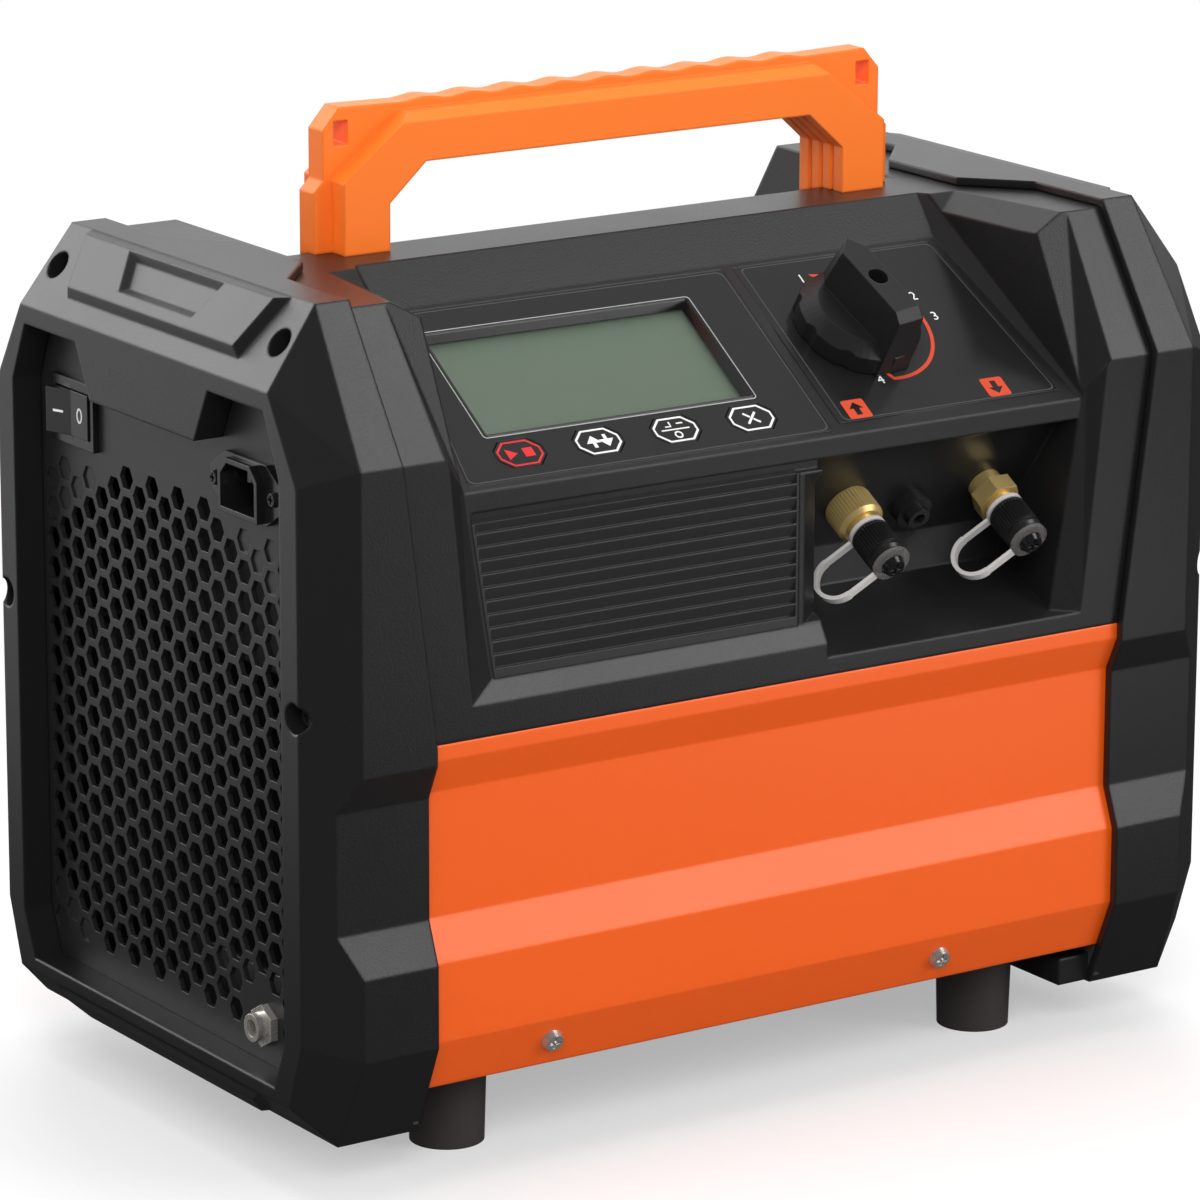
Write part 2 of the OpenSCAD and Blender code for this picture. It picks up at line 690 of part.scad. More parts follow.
// The space inside: behind the louvre on the left, behind the fittings' wall on the right
module housing_hollow() {
  t = housing_wall;
  drop = t / cos(panel_tilt);
  function under(y) = lip_z + (y - lip_y) * tan(panel_tilt) - drop;
  front_l = louvre_y + louvre_t + t;
  step = wall_top + t * [cos(fit_tilt), sin(fit_tilt)];
  corner = wall_low + t * [1, tan(fit_tilt / 2)];
  roof = [
    [panel_top_y + 1, under(panel_top_y + 1)], [0.6 - ridge_front, deck_z - deck_t],
    [ridge_flat, deck_z - deck_t], [ridge_rear - 2, ridge_rear_z - deck_t],
    [-panel_top_y - 3, rear_slope_z(-panel_top_y) - deck_t], [-lip_y - t, lip_z - deck_t],
    [-lip_y - t, seam_z - 1]
  ];
  half = panel_half - 5;
  along_x(-half, recess_x1 - t)
    polygon(concat([[front_l, seam_z - 1], [front_l, under(front_l)]], roof));
  along_x(recess_x1 - t - tiny, half)
    polygon(concat([[corner[0], seam_z - 1], corner, step, [step[0], under(step[0])]], roof));
  both_ends() along_x(cheek_half + housing_wall + 1.5, housing_x + 1)
    polygon(inset(body_outline, housing_wall));
}
function rear_slope_z(y) = lip_z + (-lip_y - y) * tan(panel_tilt) * 0.92;
module rear_recess() {
  along_x(-rear_half, rear_half) polygon([
    [ridge_flat, deck_z], [ridge_rear, ridge_rear_z], [-panel_top_y, rear_slope_z(-panel_top_y)],
    [-lip_y, lip_z], [-lip_y, ledge_z + 4], [half_d, ledge_z], [half_d, body_h], [ridge_flat, body_h]
  ]);
}
module upper_housing() {
  color(black) difference() {
    along_x(-housing_x, housing_x) polygon(upper_outline);
    panel_pocket();
    cheek_bevels();
    front_recesses();
    rear_recess();
    housing_hollow();
    translate([0, louvre_y + louvre_t, 0]) louvre_block(louvre_t + 1);
    along_x(louvre_in - side_x(louvre_top), recess_x1 + 1) polygon([
      [lip_y - 1, louvre_top - tiny], [lip_y + louvre_t, louvre_top - tiny],
      [lip_y + louvre_t, lip_under], [lip_y - 1, lip_under]
    ]);
    on_panel(0, 0) {
      translate([0, 0, -overlay_t]) linear_extrude(2) display_outline();
      translate([0, 0, -overlay_t]) linear_extrude(2) valve_outline();
    }
    on_panel(window_x, window_s)
      block([-window_w / 2, -window_h / 2, -cut_l], [window_w / 2, window_h / 2, 1]);
    for (i = [0:3]) on_panel(key_x0 + i * key_pitch, key_s)
      translate([0, 0, -key_t - key_travel - gap]) linear_extrude(key_t + 2) key_outline(gap);
    on_panel(knob_x, knob_s) translate([0, 0, -cut_l]) cylinder(r = stem_r + 1, h = 2 * cut_l);
    for (p = fit_places)
      on_wall(p[0], p[1]) translate([0, 0, -cut_l]) cylinder(r = flare_r + gap, h = cut_l + 1);
    for (side = [1, -1]) translate([side * leg_x, handle_screw_y, deck_z - 20])
      cylinder(r = shank_r + 0.9, h = 40);
  }
}

// The louvre: a drop-in block with slats, its left edge slanting with the recess
module louvre_block(t) {
  rotate([90, 0, 0]) linear_extrude(t) polygon([
    [louvre_in - side_x(louvre_low), louvre_low], [recess_x0 - 1, louvre_low],
    [recess_x0 - 1, louvre_top], [louvre_in - side_x(louvre_top), louvre_top]
  ]);
}
module vent_louvre() {
  slats = 11;
  slat_foot = 3.7;
  slat_lean = louvre_t * 0.57;
  pitch = (louvre_top - louvre_low - 2 * slat_foot) / (slats - 1);
  color(black) difference() {
    translate([0, louvre_y + louvre_t, 0]) louvre_block(louvre_t);
    for (i = [0:slats - 1]) {
      z = louvre_low + slat_foot + i * pitch;
      along_x(louvre_in + 1 - side_x(z), recess_x0 - 2) polygon([
        [louvre_y - 1, z], [louvre_y + slat_lean, z], [louvre_y, z + pitch - 0.5],
        [louvre_y - 1, z + pitch - 0.5]
      ]);
    }
  }
}

// Overlays that lie flush in the panel, and the window and keys in the left one
module display_outline() {
  polygon([[3.6 - panel_half, 3], [24, 3], [24, panel_len - 2], [3.6 - panel_rear_half, panel_len - 2]]);
}
module valve_outline() {
  polygon([[29, 6], [panel_half - 7, 6], [panel_rear_half - 4, panel_len - 2], [29, panel_len - 2]]);
}
module key_outline(grow) {
  w = key_w / 2 + grow;
  h = key_h / 2 + grow;
  c = key_h / 3;
  polygon([
    [c - w, -h], [w - c, -h], [w, c - h], [w, h - c], [w - c, h], [c - w, h], [-w, h - c], [-w, c - h]
  ]);
}
module display_overlay() {
  color(soft_black) on_panel(0, 0) translate([0, 0, -overlay_t]) difference() {
    linear_extrude(overlay_t) display_outline();
    translate([window_x, window_s, -1]) linear_extrude(overlay_t + 2)
      square([window_w, window_h], center = true);
    for (i = [0:3]) translate([key_x0 + i * key_pitch, key_s, -1])
      linear_extrude(overlay_t + 2) key_outline(gap);
  }
}
module valve_overlay() {
  color(soft_black) on_panel(0, 0) translate([0, 0, -overlay_t]) difference() {
    linear_extrude(overlay_t) valve_outline();
    translate([knob_x, knob_s, -1]) cylinder(r = stem_r + 1, h = overlay_t + 2);
  }
}
lens_t = 1.8;
lens_lap = 3;
lcd_t = 7;
lcd_back = housing_wall + lens_t + lcd_t;
module window_plate(grow, t) {
  linear_extrude(t) square([window_w + 2 * grow, window_h + 2 * grow], center = true);
}
module display_lens() {
  color([0.55, 0.65, 0.57, 0.5]) on_panel(window_x, window_s)
    translate([0, 0, -housing_wall - lens_t]) window_plate(lens_lap, lens_t);
}
module lcd_module() {
  color([0.45, 0.54, 0.47]) on_panel(window_x, window_s) translate([0, 0, -lcd_back]) {
    window_plate(0, lcd_t);
    window_plate(lens_lap + 2, 2);
  }
}
module key(i) {
  on_panel(key_x0 + i * key_pitch, key_s) translate([0, 0, -key_t]) linear_extrude(key_t) key_outline(0);
}
module key_run() { color(soft_black) key(0); }
module key_mode() { color(soft_black) key(1); }
module key_units() { color(soft_black) key(2); }
module key_cancel() { color(soft_black) key(3); }

// The selector: a scalloped knob with a pointer bar on a stem that turns in the valve body
stem_depth = 34;
knob_bore = 9;
module on_knob() { on_panel(knob_x, knob_s) rotate([0, 0, knob_rest]) children(); }
module selector_knob() {
  lobes = 9;
  color(soft_black) on_knob() translate([0, 0, gap]) difference() {
    union() {
      difference() {
        union() {
          cylinder(r = knob_r, h = knob_base_h - 2);
          translate([0, 0, knob_base_h - 2]) cylinder(r1 = knob_r, r2 = knob_r - 6, h = 4);
        }
        for (i = [0:lobes - 1]) rotate([0, 0, (i + 0.5) * 360 / lobes])
          translate([knob_r + 4.6, 0, -1]) cylinder(r = 5.6, h = knob_base_h + 5);
      }
      bevelled_bar();
    }
    translate([0, 0, knob_h - knob_bore]) cylinder(r = 3.9, h = knob_bore + 1);
    translate([0, 0, knob_h - knob_bore - 4]) cylinder(r = 1.7, h = 6);
    translate([0, 0, -1]) cylinder(r = stem_r, h = knob_h - knob_bore - 2);
  }
}
module bevelled_bar() {
  w = knob_bar_w / 2;
  r = knob_r;
  point_hull([
    [-w - 2, -r, 0], [w + 2, -r, 0], [w + 3, r - 8, 0], [0, r + 0.5, 0], [-w - 3, r - 8, 0],
    [-w, 2 - r, knob_h - 3], [w, 2 - r, knob_h - 3], [-w, 6 - r, knob_h], [w, 6 - r, knob_h],
    [w, r - 9, knob_h], [1, r - 3, knob_h], [-w, r - 9, knob_h]
  ]);
}
module valve_stem() {
  color(steel) on_knob() translate([0, 0, gap]) difference() {
    translate([0, 0, -stem_depth]) cylinder(r = stem_r, h = stem_depth + knob_h - knob_bore - 3);
    translate([0, 0, knob_h - knob_bore - 13]) cylinder(r = 1.3, h = 12);
  }
}
module knob_screw() {
  color(steel) on_knob() translate([0, 0, gap + knob_h - knob_bore]) pan_screw(1.3, 10, 2.8, 1.8);
}
module valve_body() {
  top = -housing_wall;
  color(brass) on_panel(knob_x, knob_s) difference() {
    union() {
      translate([0, 0, top - 26]) cylinder(r = 17, h = 26);
      translate([0, 0, top - 38]) cylinder(r = 12, h = 13);
    }
    translate([0, 0, -stem_depth - 1]) cylinder(r = stem_r + run_gap, h = stem_depth + 2);
  }
}

// The manifold behind the recess wall and what screws into it
manifold_front = -housing_wall - gap;
manifold_d = 24;
manifold_end = 14;
manifold_half = 13;
core_l = 8;
shank_l = 10;
collar_r = 9.2;
collar_edge = 1.5;
hex_l = 7;
module manifold_block() {
  color(alloy) on_wall(0, fit_drop) difference() {
    block([inlet_x - manifold_end, -manifold_half, manifold_front - manifold_d],
          [outlet_x + manifold_end, manifold_half, manifold_front]);
    for (p = fit_places) translate([p[0], fit_drop - p[1], manifold_front - shank_l])
      cylinder(r = flare_r, h = shank_l + 1);
  }
}
module fitting_core() {
  translate([0, 0, manifold_front - shank_l]) cylinder(r = flare_r, h = shank_l - manifold_front);
  translate([0, 0, fit_neck_z - tiny]) cylinder(r = flare_r, h = neck_l + core_l);
}
module inlet_fitting() {
  color(brass) on_wall(inlet_x, fit_drop) {
    fitting_core();
    cylinder(r = collar_r, h = fit_body_l - collar_edge);
    translate([0, 0, fit_body_l - collar_edge])
      cylinder(r1 = collar_r, r2 = collar_r - collar_edge, h = collar_edge);
  }
}
module outlet_fitting() {
  color(brass) on_wall(outlet_x, fit_drop) {
    fitting_core();
    cylinder(r = flare_r + 1.1, h = fit_body_l - hex_l);
    translate([0, 0, fit_body_l - hex_l]) cylinder(r = collar_r, h = hex_l, $fn = 6);
  }
}
module sealed_plug() {
  color(soft_black) on_wall(plug_x, plug_drop) difference() {
    union() {
      translate([0, 0, manifold_front - shank_l]) cylinder(r = flare_r, h = shank_l - manifold_front);
      cylinder(r = 7.4, h = 5);
      translate([0, 0, 5]) cylinder(r = 4.6, h = 3.5);
    }
    translate([0, 0, 4]) cylinder(r = 2.6, h = 6, $fn = 6);
  }
}
// A sealing cap with a blind bore, its end screw, and the strap that keeps it on the neck
module flare_cap(x) {
  color(soft_black) on_wall(x, fit_drop) difference() {
    translate([0, 0, fit_cap_z]) union() {
      cylinder(r = flare_cap_r, h = flare_cap_l - 2);
      translate([0, 0, flare_cap_l - 2]) cylinder(r1 = flare_cap_r, r2 = flare_cap_r - 1.6, h = 2);
    }
    translate([0, 0, fit_cap_z - 1]) cylinder(r = flare_r + run_gap, h = core_l + 2);
    translate([0, 0, fit_end_z - 4]) cylinder(r = stud_r, h = 5);
  }
}
module cap_screw(x) {
  color(steel) on_wall(x, fit_drop) translate([0, 0, fit_end_z + strap_t + 2 * gap])
    pan_screw(stud_r, strap_t + 2 * gap + 3.5, 4.6, 2.4);
}
module strap(x) {
  turn = 224;
  low = fit_cap_z - gap - strap_t / 2;
  high = fit_end_z + gap + strap_t / 2;
  loop_r = (high - low) / 2;
  ring_r = flare_r + 2;
  arm_w = strap_w - 0.4;
  arm_t = strap_t - 0.3;
  color(nylon) on_wall(x, fit_drop) {
    translate([0, 0, low - strap_t / 2]) strap_ring(flare_r + gap, ring_r);
    translate([0, 0, high - strap_t / 2]) strap_ring(stud_r + gap, ring_r);
    rotate([0, 0, turn]) {
      for (z = [low, high]) translate([ring_r - 1, -arm_w / 2, z - arm_t / 2])
        cube([strap_arm + 2, arm_w, arm_t]);
      translate([ring_r + strap_arm, 0, (low + high) / 2]) rotate([90, 0, 0]) rotate([0, 0, -90])
        rotate_extrude(angle = 180) translate([loop_r - strap_t / 2, -strap_w / 2])
          square([strap_t, strap_w]);
    }
  }
}
module strap_ring(inner, outer) {
  difference() {
    cylinder(r = outer, h = strap_t);
    translate([0, 0, -1]) cylinder(r = inner, h = strap_t + 2);
  }
}
module inlet_cap() { flare_cap(inlet_x); }
module outlet_cap() { flare_cap(outlet_x); }
module inlet_cap_screw() { cap_screw(inlet_x); }
module outlet_cap_screw() { cap_screw(outlet_x); }
module inlet_strap() { strap(inlet_x); }
module outlet_strap() { strap(outlet_x); }

// The handle: a bent grip with a spine that ends in two pierced ears
leg_x = handle_w / 2 - leg_t / 2;
handle_top = deck_z + handle_rise;
ear_x = handle_w / 2 + 3.5;
ear_flare = 4;
ear_top = handle_top + 3.5;
module handle() {
  x1 = handle_w / 2;
  x0 = x1 - leg_t;
  z1 = handle_top;
  y0 = handle_y - handle_d / 2;
  y1 = handle_y + handle_d / 2;
  inner = z1 - grip_t;
  color(bright_orange) difference() {
    intersection() {
      union() {
        along_y(y0, y1) polygon([
          [x0, 0], [x1, 0], [x1, z1 - 23], [x1 - 29.5, z1], [29.5 - x1, z1], [-x1, z1 - 23], [-x1, 0],
          [-x0, 0], [-x0, inner - 14], [15.6 - x0, inner], [x0 - 15.6, inner], [x0, inner - 14]
        ]);
        along_y(handle_y - 5, handle_y + 5) polygon(concat(
          [[x1 - 1, 0], [ear_x + ear_flare, 0], [ear_x + ear_flare, z1 - 27], [ear_x, z1 - 23],
           [ear_x, ear_top - 8], [ear_x - 7, ear_top]],
          [for (x = [x1 - 30:-2.5:30 - x1]) [x, ear_top + 0.6 * cos(x * 18)]],
          [[7 - ear_x, ear_top], [-ear_x, ear_top - 8], [-ear_x, z1 - 23], [-ear_x - ear_flare, z1 - 27],
           [-ear_x - ear_flare, 0], [1 - x1, 0], [1 - x1, z1 - 24], [30 - x1, z1 - 1], [x1 - 30, z1 - 1],
           [x1 - 1, z1 - 24]]
        ));
      }
      along_x(-far, far) polygon([
        [y0, deck_z], [ridge_flat, deck_z], [ridge_rear, ridge_rear_z], [y1 + 6, ridge_rear_z],
        [y1 + 6, z1], [y1, z1 - 3], [y1 - 3, z1], [handle_y + 8, z1 + 8], [handle_y - 8, z1 + 8],
        [y0 + 3, z1], [y0, z1 - 3]
      ]);
    }
    for (side = [1, -1]) {
      translate([side * (ear_x - 7.5), 0, z1 - 6]) along_y(-far, far) square([6, 9], center = true);
      translate([side * leg_x, handle_screw_y, deck_z - 10]) cylinder(r = shank_r + 0.4, h = 28);
      for (i = [-1:1]) mirror([side < 0 ? 1 : 0, 0, 0])
        along_y(handle_y + i * 7 - 1.2, handle_y + i * 7 + 1.2) polygon([
          [x0 - 3, 0], [x0 + 1.5, 0], [x0 + 1.5, inner - 13.3], [x0 - 15, inner + 1.5],
          [x0 - 19, inner + 1.5], [x0 - 19, inner - 2]
        ]);
    }
  }
}
module handle_screws() {
  color(steel) for (side = [1, -1]) translate([side * leg_x, handle_screw_y, deck_z - deck_t])
    mirror([0, 0, 1]) pan_screw(shank_r + 0.4, 16, 5, 3);
}

// The rocker switch on the left grille: bezel and body, and a rocker on a vertical pin
rocker_l = 24;
rocker_h = 17;
rocker_tilt = 10;
rocker_pivot = 1;
bezel_t = 2.4;
module at_switch() {
  translate([-grille_x, switch_y, switch_z]) rotate([0, 0, 90]) rotate([90, 0, 0]) mirror([1, 0, 0])
    mirror([0, 0, 1]) children();
}
module switch_body() {
  color(soft_black) at_switch() difference() {
    union() {
      block([-switch_l / 2, -switch_h / 2, 0], [switch_l / 2, switch_h / 2, bezel_t]);
      block([2.1 - switch_l / 2, 1.9 - switch_h / 2, -22], [switch_l / 2 - 2.1, switch_h / 2 - 1.9, tiny]);
    }
    block([-rocker_l / 2 - 0.8, -rocker_h / 2 - gap, -7], [rocker_l / 2 + 0.8, rocker_h / 2 + gap, 5]);
    translate([0, -rocker_h / 2 - 1.5, rocker_pivot]) rotate([-90, 0, 0])
      cylinder(r = 1.2 + run_gap, h = rocker_h + 3);
  }
}
module power_rocker() {
  reach = rocker_l / 2;
  color(soft_black) at_switch() translate([0, 0, rocker_pivot]) rotate([0, rocker_tilt, 0]) {
    translate([0, rocker_h / 2, 0]) rotate([90, 0, 0]) linear_extrude(rocker_h) polygon([
      [-reach, -1], [0, -4.5], [reach, -1], [reach, 4.2], [0, 2.2], [-reach, 4.2]
    ]);
    translate([0, -rocker_h / 2 - 1.2, 0]) rotate([-90, 0, 0]) cylinder(r = 1.2, h = rocker_h + 2.4);
  }
}

// The power inlet: a flanged shroud with three blades and two screws
shroud_l = 27;
shroud_h = 20;
shroud_out = 6;
shroud_in = 18;
module at_socket() {
  translate([-grille_x, socket_y, socket_z]) rotate([0, 0, -90]) rotate([90, 0, 0]) children();
}
module shroud_outline(grow) {
  w = shroud_l / 2 + grow;
  h = shroud_h / 2 + grow;
  c = 5 + grow * 0.4;
  polygon([[-w, -h], [w, -h], [w, h - c], [w - c, h], [c - w, h], [-w, h - c]]);
}
module power_inlet() {
  ear = socket_screw_span / 2 + 5;
  color(soft_black) at_socket() difference() {
    union() {
      linear_extrude(2.5) polygon([
        [-ear, -4], [-14, -11], [14, -11], [ear, -4], [ear, 4], [14, 11], [-14, 11], [-ear, 4]
      ]);
      linear_extrude(shroud_out) shroud_outline(0);
      translate([0, 0, -shroud_in]) linear_extrude(shroud_in + 1) shroud_outline(-0.3);
    }
    translate([0, 0, -shroud_in + 2]) linear_extrude(shroud_in + shroud_out) shroud_outline(-1.9);
    for (side = [1, -1]) translate([side * socket_screw_span / 2, 0, -1]) cylinder(r = 1.7, h = 5);
    inlet_blades(4);
  }
}
module inlet_blades(l) {
  for (p = [[-7, 2], [0, -2], [7, 2]])
    translate([p[0], p[1], -shroud_in - l]) translate([-1, -2, 0]) cube([2, 4, l + 2 + 13]);
}
module inlet_pins() { color(steel) at_socket() inlet_blades(4); }
module inlet_screws() {
  color(steel) at_socket() for (side = [1, -1])
    translate([side * socket_screw_span / 2, 0, 2.5]) pan_screw(1.5, 8, 2.9, 1.8);
}

// The sensor jack: a barrel through the grille with a nut behind its collar
module at_jack() { translate([-grille_x, jack_y, jack_z]) rotate([0, -90, 0]) children(); }
module sensor_jack() {
  color(steel) at_jack() difference() {
    union() {
      translate([0, 0, -14]) cylinder(r = jack_r, h = 21);
      translate([0, 0, -grille_t - 5]) cylinder(r = jack_r + 3, h = 5);
    }
    translate([0, 0, -10]) cylinder(r = 3.2, h = 20);
  }
}
module jack_nut() {
  color(steel) at_jack() difference() {
    cylinder(r = jack_r + 2.8, h = 3, $fn = 6);
    translate([0, 0, -1]) cylinder(r = jack_r, h = 5);
  }
}

// The compressor: motor, bearings, shaft with rotor and fan, crankcase and finned heads
bell_t = 6;
crank_end = 14;
module at_shaft(x) { translate([x, shaft_y, shaft_z]) rotate([0, 90, 0]) children(); }
module motor_housing() {
  seat_t = bearing_w + 4;
  color(alloy) difference() {
    union() {
      at_shaft(motor_x0) cylinder(r = motor_r, h = motor_l);
      for (side = [1, -1]) block(
        [motor_x0 + 8, shaft_y + side * 30 - 12, floor_z],
        [motor_x1 - 8, shaft_y + side * 30 + 12, shaft_z - motor_r * 0.55]);
    }
    at_shaft(motor_x0 + seat_t) cylinder(r = motor_r - bell_t, h = motor_l - 2 * seat_t);
    for (x = [motor_x0 - 1, motor_x1 - bearing_w]) at_shaft(x) cylinder(r = bearing_r, h = bearing_w + 1);
    at_shaft(motor_x0 - 1) cylinder(r = shaft_r + 2, h = motor_l + 2);
  }
}
module motor_bearings() {
  color(steel) for (x = [motor_x0, motor_x1 - bearing_w]) at_shaft(x) difference() {
    cylinder(r = bearing_r, h = bearing_w);
    translate([0, 0, -1]) cylinder(r = shaft_r + run_gap, h = bearing_w + 2);
  }
}
module motor_shaft() {
  color(steel) at_shaft(motor_x0 - crank_end)
    cylinder(r = shaft_r, h = fan_x + fan_d - motor_x0 + crank_end + 2);
}
module motor_rotor() {
  l = motor_l - 2 * bearing_w - 20;
  color(alloy) at_shaft(motor_x0 + bearing_w + 10) difference() {
    cylinder(r = motor_r - bell_t - 1, h = l);
    translate([0, 0, -1]) cylinder(r = shaft_r, h = l + 2);
  }
}
crank_l = 74;
cylinder_rise = 68;
head_h = 14;
head_z = shaft_z + cylinder_rise;
cylinder_r = 21;
function head_x(i) = motor_x0 - crank_l / 2 + (i - 0.5) * 36;
module crankcase() {
  x0 = motor_x0 - crank_l;
  color(alloy) difference() {
    union() {
      block([x0, shaft_y - 34, floor_z], [motor_x0 - gap, shaft_y + 34, shaft_z + 30]);
      for (i = [0, 1]) translate([head_x(i), shaft_y, shaft_z + 29]) {
        cylinder(r = cylinder_r - 5, h = head_z - shaft_z - 29);
        for (f = [0:5]) translate([0, 0, 4 + f * 6]) intersection() {
          cylinder(r = cylinder_r + 4, h = 2);
          block([-17.5, -far, -1], [17.5, far, 3]);
        }
      }
    }
    at_shaft(motor_x0 - crank_end - 2) cylinder(r = shaft_r + 4, h = crank_end + 6);
  }
}
module cylinder_heads() {
  color(alloy) for (i = [0, 1]) translate([head_x(i), shaft_y, head_z]) difference() {
    intersection() {
      cylinder(r = cylinder_r + 4, h = head_h);
      block([-17.5, -far, -1], [17.5, far, head_h + 1]);
    }
    translate([0, 0, 8]) cylinder(r = tube_r, h = 10);
  }
}
module cooling_fan() {
  hub_r = 16;
  color(soft_black) at_shaft(fan_x) difference() {
    union() {
      cylinder(r = hub_r, h = fan_d);
      for (i = [0:fan_blades - 1]) rotate([0, 0, i * 360 / fan_blades]) intersection() {
        translate([0, 0, fan_d / 2]) rotate([34, 0, 0]) block([hub_r - 2, -12, -0.9], [fan_r + 5, 12, 0.9]);
        cylinder(r = fan_r, h = fan_d);
      }
    }
    translate([0, 0, -1]) cylinder(r = shaft_r, h = fan_d + 2);
  }
}
shroud_x = fan_x + 2;
module fan_shroud() {
  ring_r = fan_r + 2;
  color(steel) difference() {
    union() {
      block([shroud_x, shaft_y - 78, floor_z], [shroud_x + 1.5, shaft_y + 78, condenser_top]);
      at_shaft(shroud_x) cylinder(r = ring_r + 2, h = 13);
      block([shroud_x, shaft_y - 78, floor_z], [shroud_x + 12, shaft_y + 78, floor_z + 1.5]);
    }
    at_shaft(shroud_x - 1) cylinder(r = ring_r, h = 20);
  }
}
module condenser_coil() {
  pitch = 2 * condenser_half / fin_count;
  rows = 5;
  fin_t = 1;
  row_pitch = (condenser_top - floor_z - 16) / (rows - 1);
  color(alloy) {
    for (i = [0:fin_count]) {
      y = i * pitch - condenser_half;
      low = floor_z + (i % fin_count > 0 ? 3 : 0);
      block([condenser_x, y - fin_t / 2, low], [condenser_x + condenser_d, y + fin_t / 2, condenser_top]);
    }
    for (j = [0:rows - 1], k = [0.25, 0.75])
      translate([condenser_x + condenser_d * k, -condenser_half - 4, floor_z + 8 + j * row_pitch])
        rotate([-90, 0, 0]) cylinder(r = 3.4, h = 2 * condenser_half + 8, $fn = 20);
  }
}

// The control board behind the display and the tubes between manifold and heads
board_t = 1.6;
module control_board() {
  color([0.1, 0.35, 0.2]) on_panel(window_x, window_s) translate([0, 0, -lcd_back]) mirror([0, 0, 1]) {
    window_plate(lens_lap + 4, board_t);
    translate([-30, 0, board_t - tiny]) cylinder(r = 6, h = 11);
    block([6, -14, board_t - tiny], [24, 6, 14]);
    block([-12, 6, board_t - tiny], [0, 20, 9]);
  }
}
tube_r = 4;
tube_x = [inlet_x - 9, outlet_x - 4];
module rod(a, b) {
  v = b - a;
  translate(a) rotate([0, acos(v[2] / norm(v)), atan2(v[1], v[0])])
    cylinder(r = tube_r, h = norm(v), $fn = 24);
}
module refrigerant_tubes() {
  color(copper) for (i = [0, 1]) {
    start = wall_point(tube_x[i], fit_drop, manifold_front - manifold_d);
    back = wall_point(tube_x[i], fit_drop, manifold_front - manifold_d - 16 - 12 * i);
    end = [head_x(i), shaft_y, head_z + 8];
    mid = [head_x(i), shaft_y, back[2] - 18 * i];
    corner = [tube_x[i], shaft_y, mid[2]];
    rod(start, back);
    rod(back, corner);
    rod(corner, mid);
    rod(mid, end);
    for (p = [back, corner, mid]) translate(p) sphere(r = tube_r + 1, $fn = 24);
  }
}
function wall_point(x, drop, out) = [
  x, wall_top[0] + drop * sin(fit_tilt) - out * cos(fit_tilt),
  wall_top[1] - drop * cos(fit_tilt) - out * sin(fit_tilt)
];

chassis_base();
front_panel();
rear_panel();
left_end_cap();
right_end_cap();
left_grille();
right_grille();
upper_housing();
vent_louvre();
display_overlay();
display_lens();
lcd_module();
key_run();
key_mode();
key_units();
key_cancel();
valve_overlay();
selector_knob();
knob_screw();
valve_stem();
valve_body();
manifold_block();
inlet_fitting();
inlet_cap();
inlet_cap_screw();
inlet_strap();
outlet_fitting();
outlet_cap();
outlet_cap_screw();
outlet_strap();
sealed_plug();
handle();
handle_screws();
front_left_foot();
front_right_foot();
rear_left_foot();
rear_right_foot();
foot_screws();
switch_body();
power_rocker();
power_inlet();
inlet_pins();
inlet_screws();
sensor_jack();
jack_nut();
front_panel_screws();
rear_panel_screws();
left_cap_screws();
right_cap_screws();
motor_housing();
motor_bearings();
motor_shaft();
motor_rotor();
crankcase();
cylinder_heads();
cooling_fan();
fan_shroud();
condenser_coil();
control_board();
refrigerant_tubes();
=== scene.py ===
import bpy
import bmesh
import json
import math
from mathutils import Matrix, Vector


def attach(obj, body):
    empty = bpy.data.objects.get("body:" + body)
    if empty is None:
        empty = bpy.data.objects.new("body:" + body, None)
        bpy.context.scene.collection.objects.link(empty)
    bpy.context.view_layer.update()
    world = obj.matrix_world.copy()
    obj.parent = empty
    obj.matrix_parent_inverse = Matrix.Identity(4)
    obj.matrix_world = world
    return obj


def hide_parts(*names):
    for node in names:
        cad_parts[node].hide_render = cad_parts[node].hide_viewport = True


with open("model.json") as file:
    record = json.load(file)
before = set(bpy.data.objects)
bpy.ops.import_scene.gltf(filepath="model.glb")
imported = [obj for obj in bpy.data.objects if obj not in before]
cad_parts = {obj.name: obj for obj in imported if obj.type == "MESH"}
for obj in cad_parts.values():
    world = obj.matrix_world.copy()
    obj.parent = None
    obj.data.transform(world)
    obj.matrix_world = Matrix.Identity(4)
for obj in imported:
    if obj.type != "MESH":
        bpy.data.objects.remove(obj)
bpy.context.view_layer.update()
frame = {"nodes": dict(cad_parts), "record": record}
cadNodes = frame["nodes"]
scene = bpy.context.scene
mm = 0.001
print("frame loaded:", len(cadNodes), "nodes")

# camera, from the photograph's own vanishing lines
cameraSet = {"place": (-1.2513, -1.8602, 0.7630), "yaw": -33.86, "pitch": 14.84, "roll": 0.17,
             "lens": 183.6, "sensor": 36.0, "clip": (0.05, 60)}


def makeCamera(s):
    data = bpy.data.cameras.new("photoCamera")
    data.lens, data.sensor_width = s["lens"], s["sensor"]
    data.clip_start, data.clip_end = s["clip"]
    cam = bpy.data.objects.new("photoCamera", data)
    turn = (Matrix.Rotation(math.radians(s["yaw"]), 4, "Z")
            @ Matrix.Rotation(math.radians(90 - s["pitch"]), 4, "X")
            @ Matrix.Rotation(math.radians(s["roll"]), 4, "Z"))
    cam.matrix_world = Matrix.Translation(s["place"]) @ turn
    scene.collection.objects.link(cam)
    scene.camera = cam


makeCamera(cameraSet)
print("camera placed")

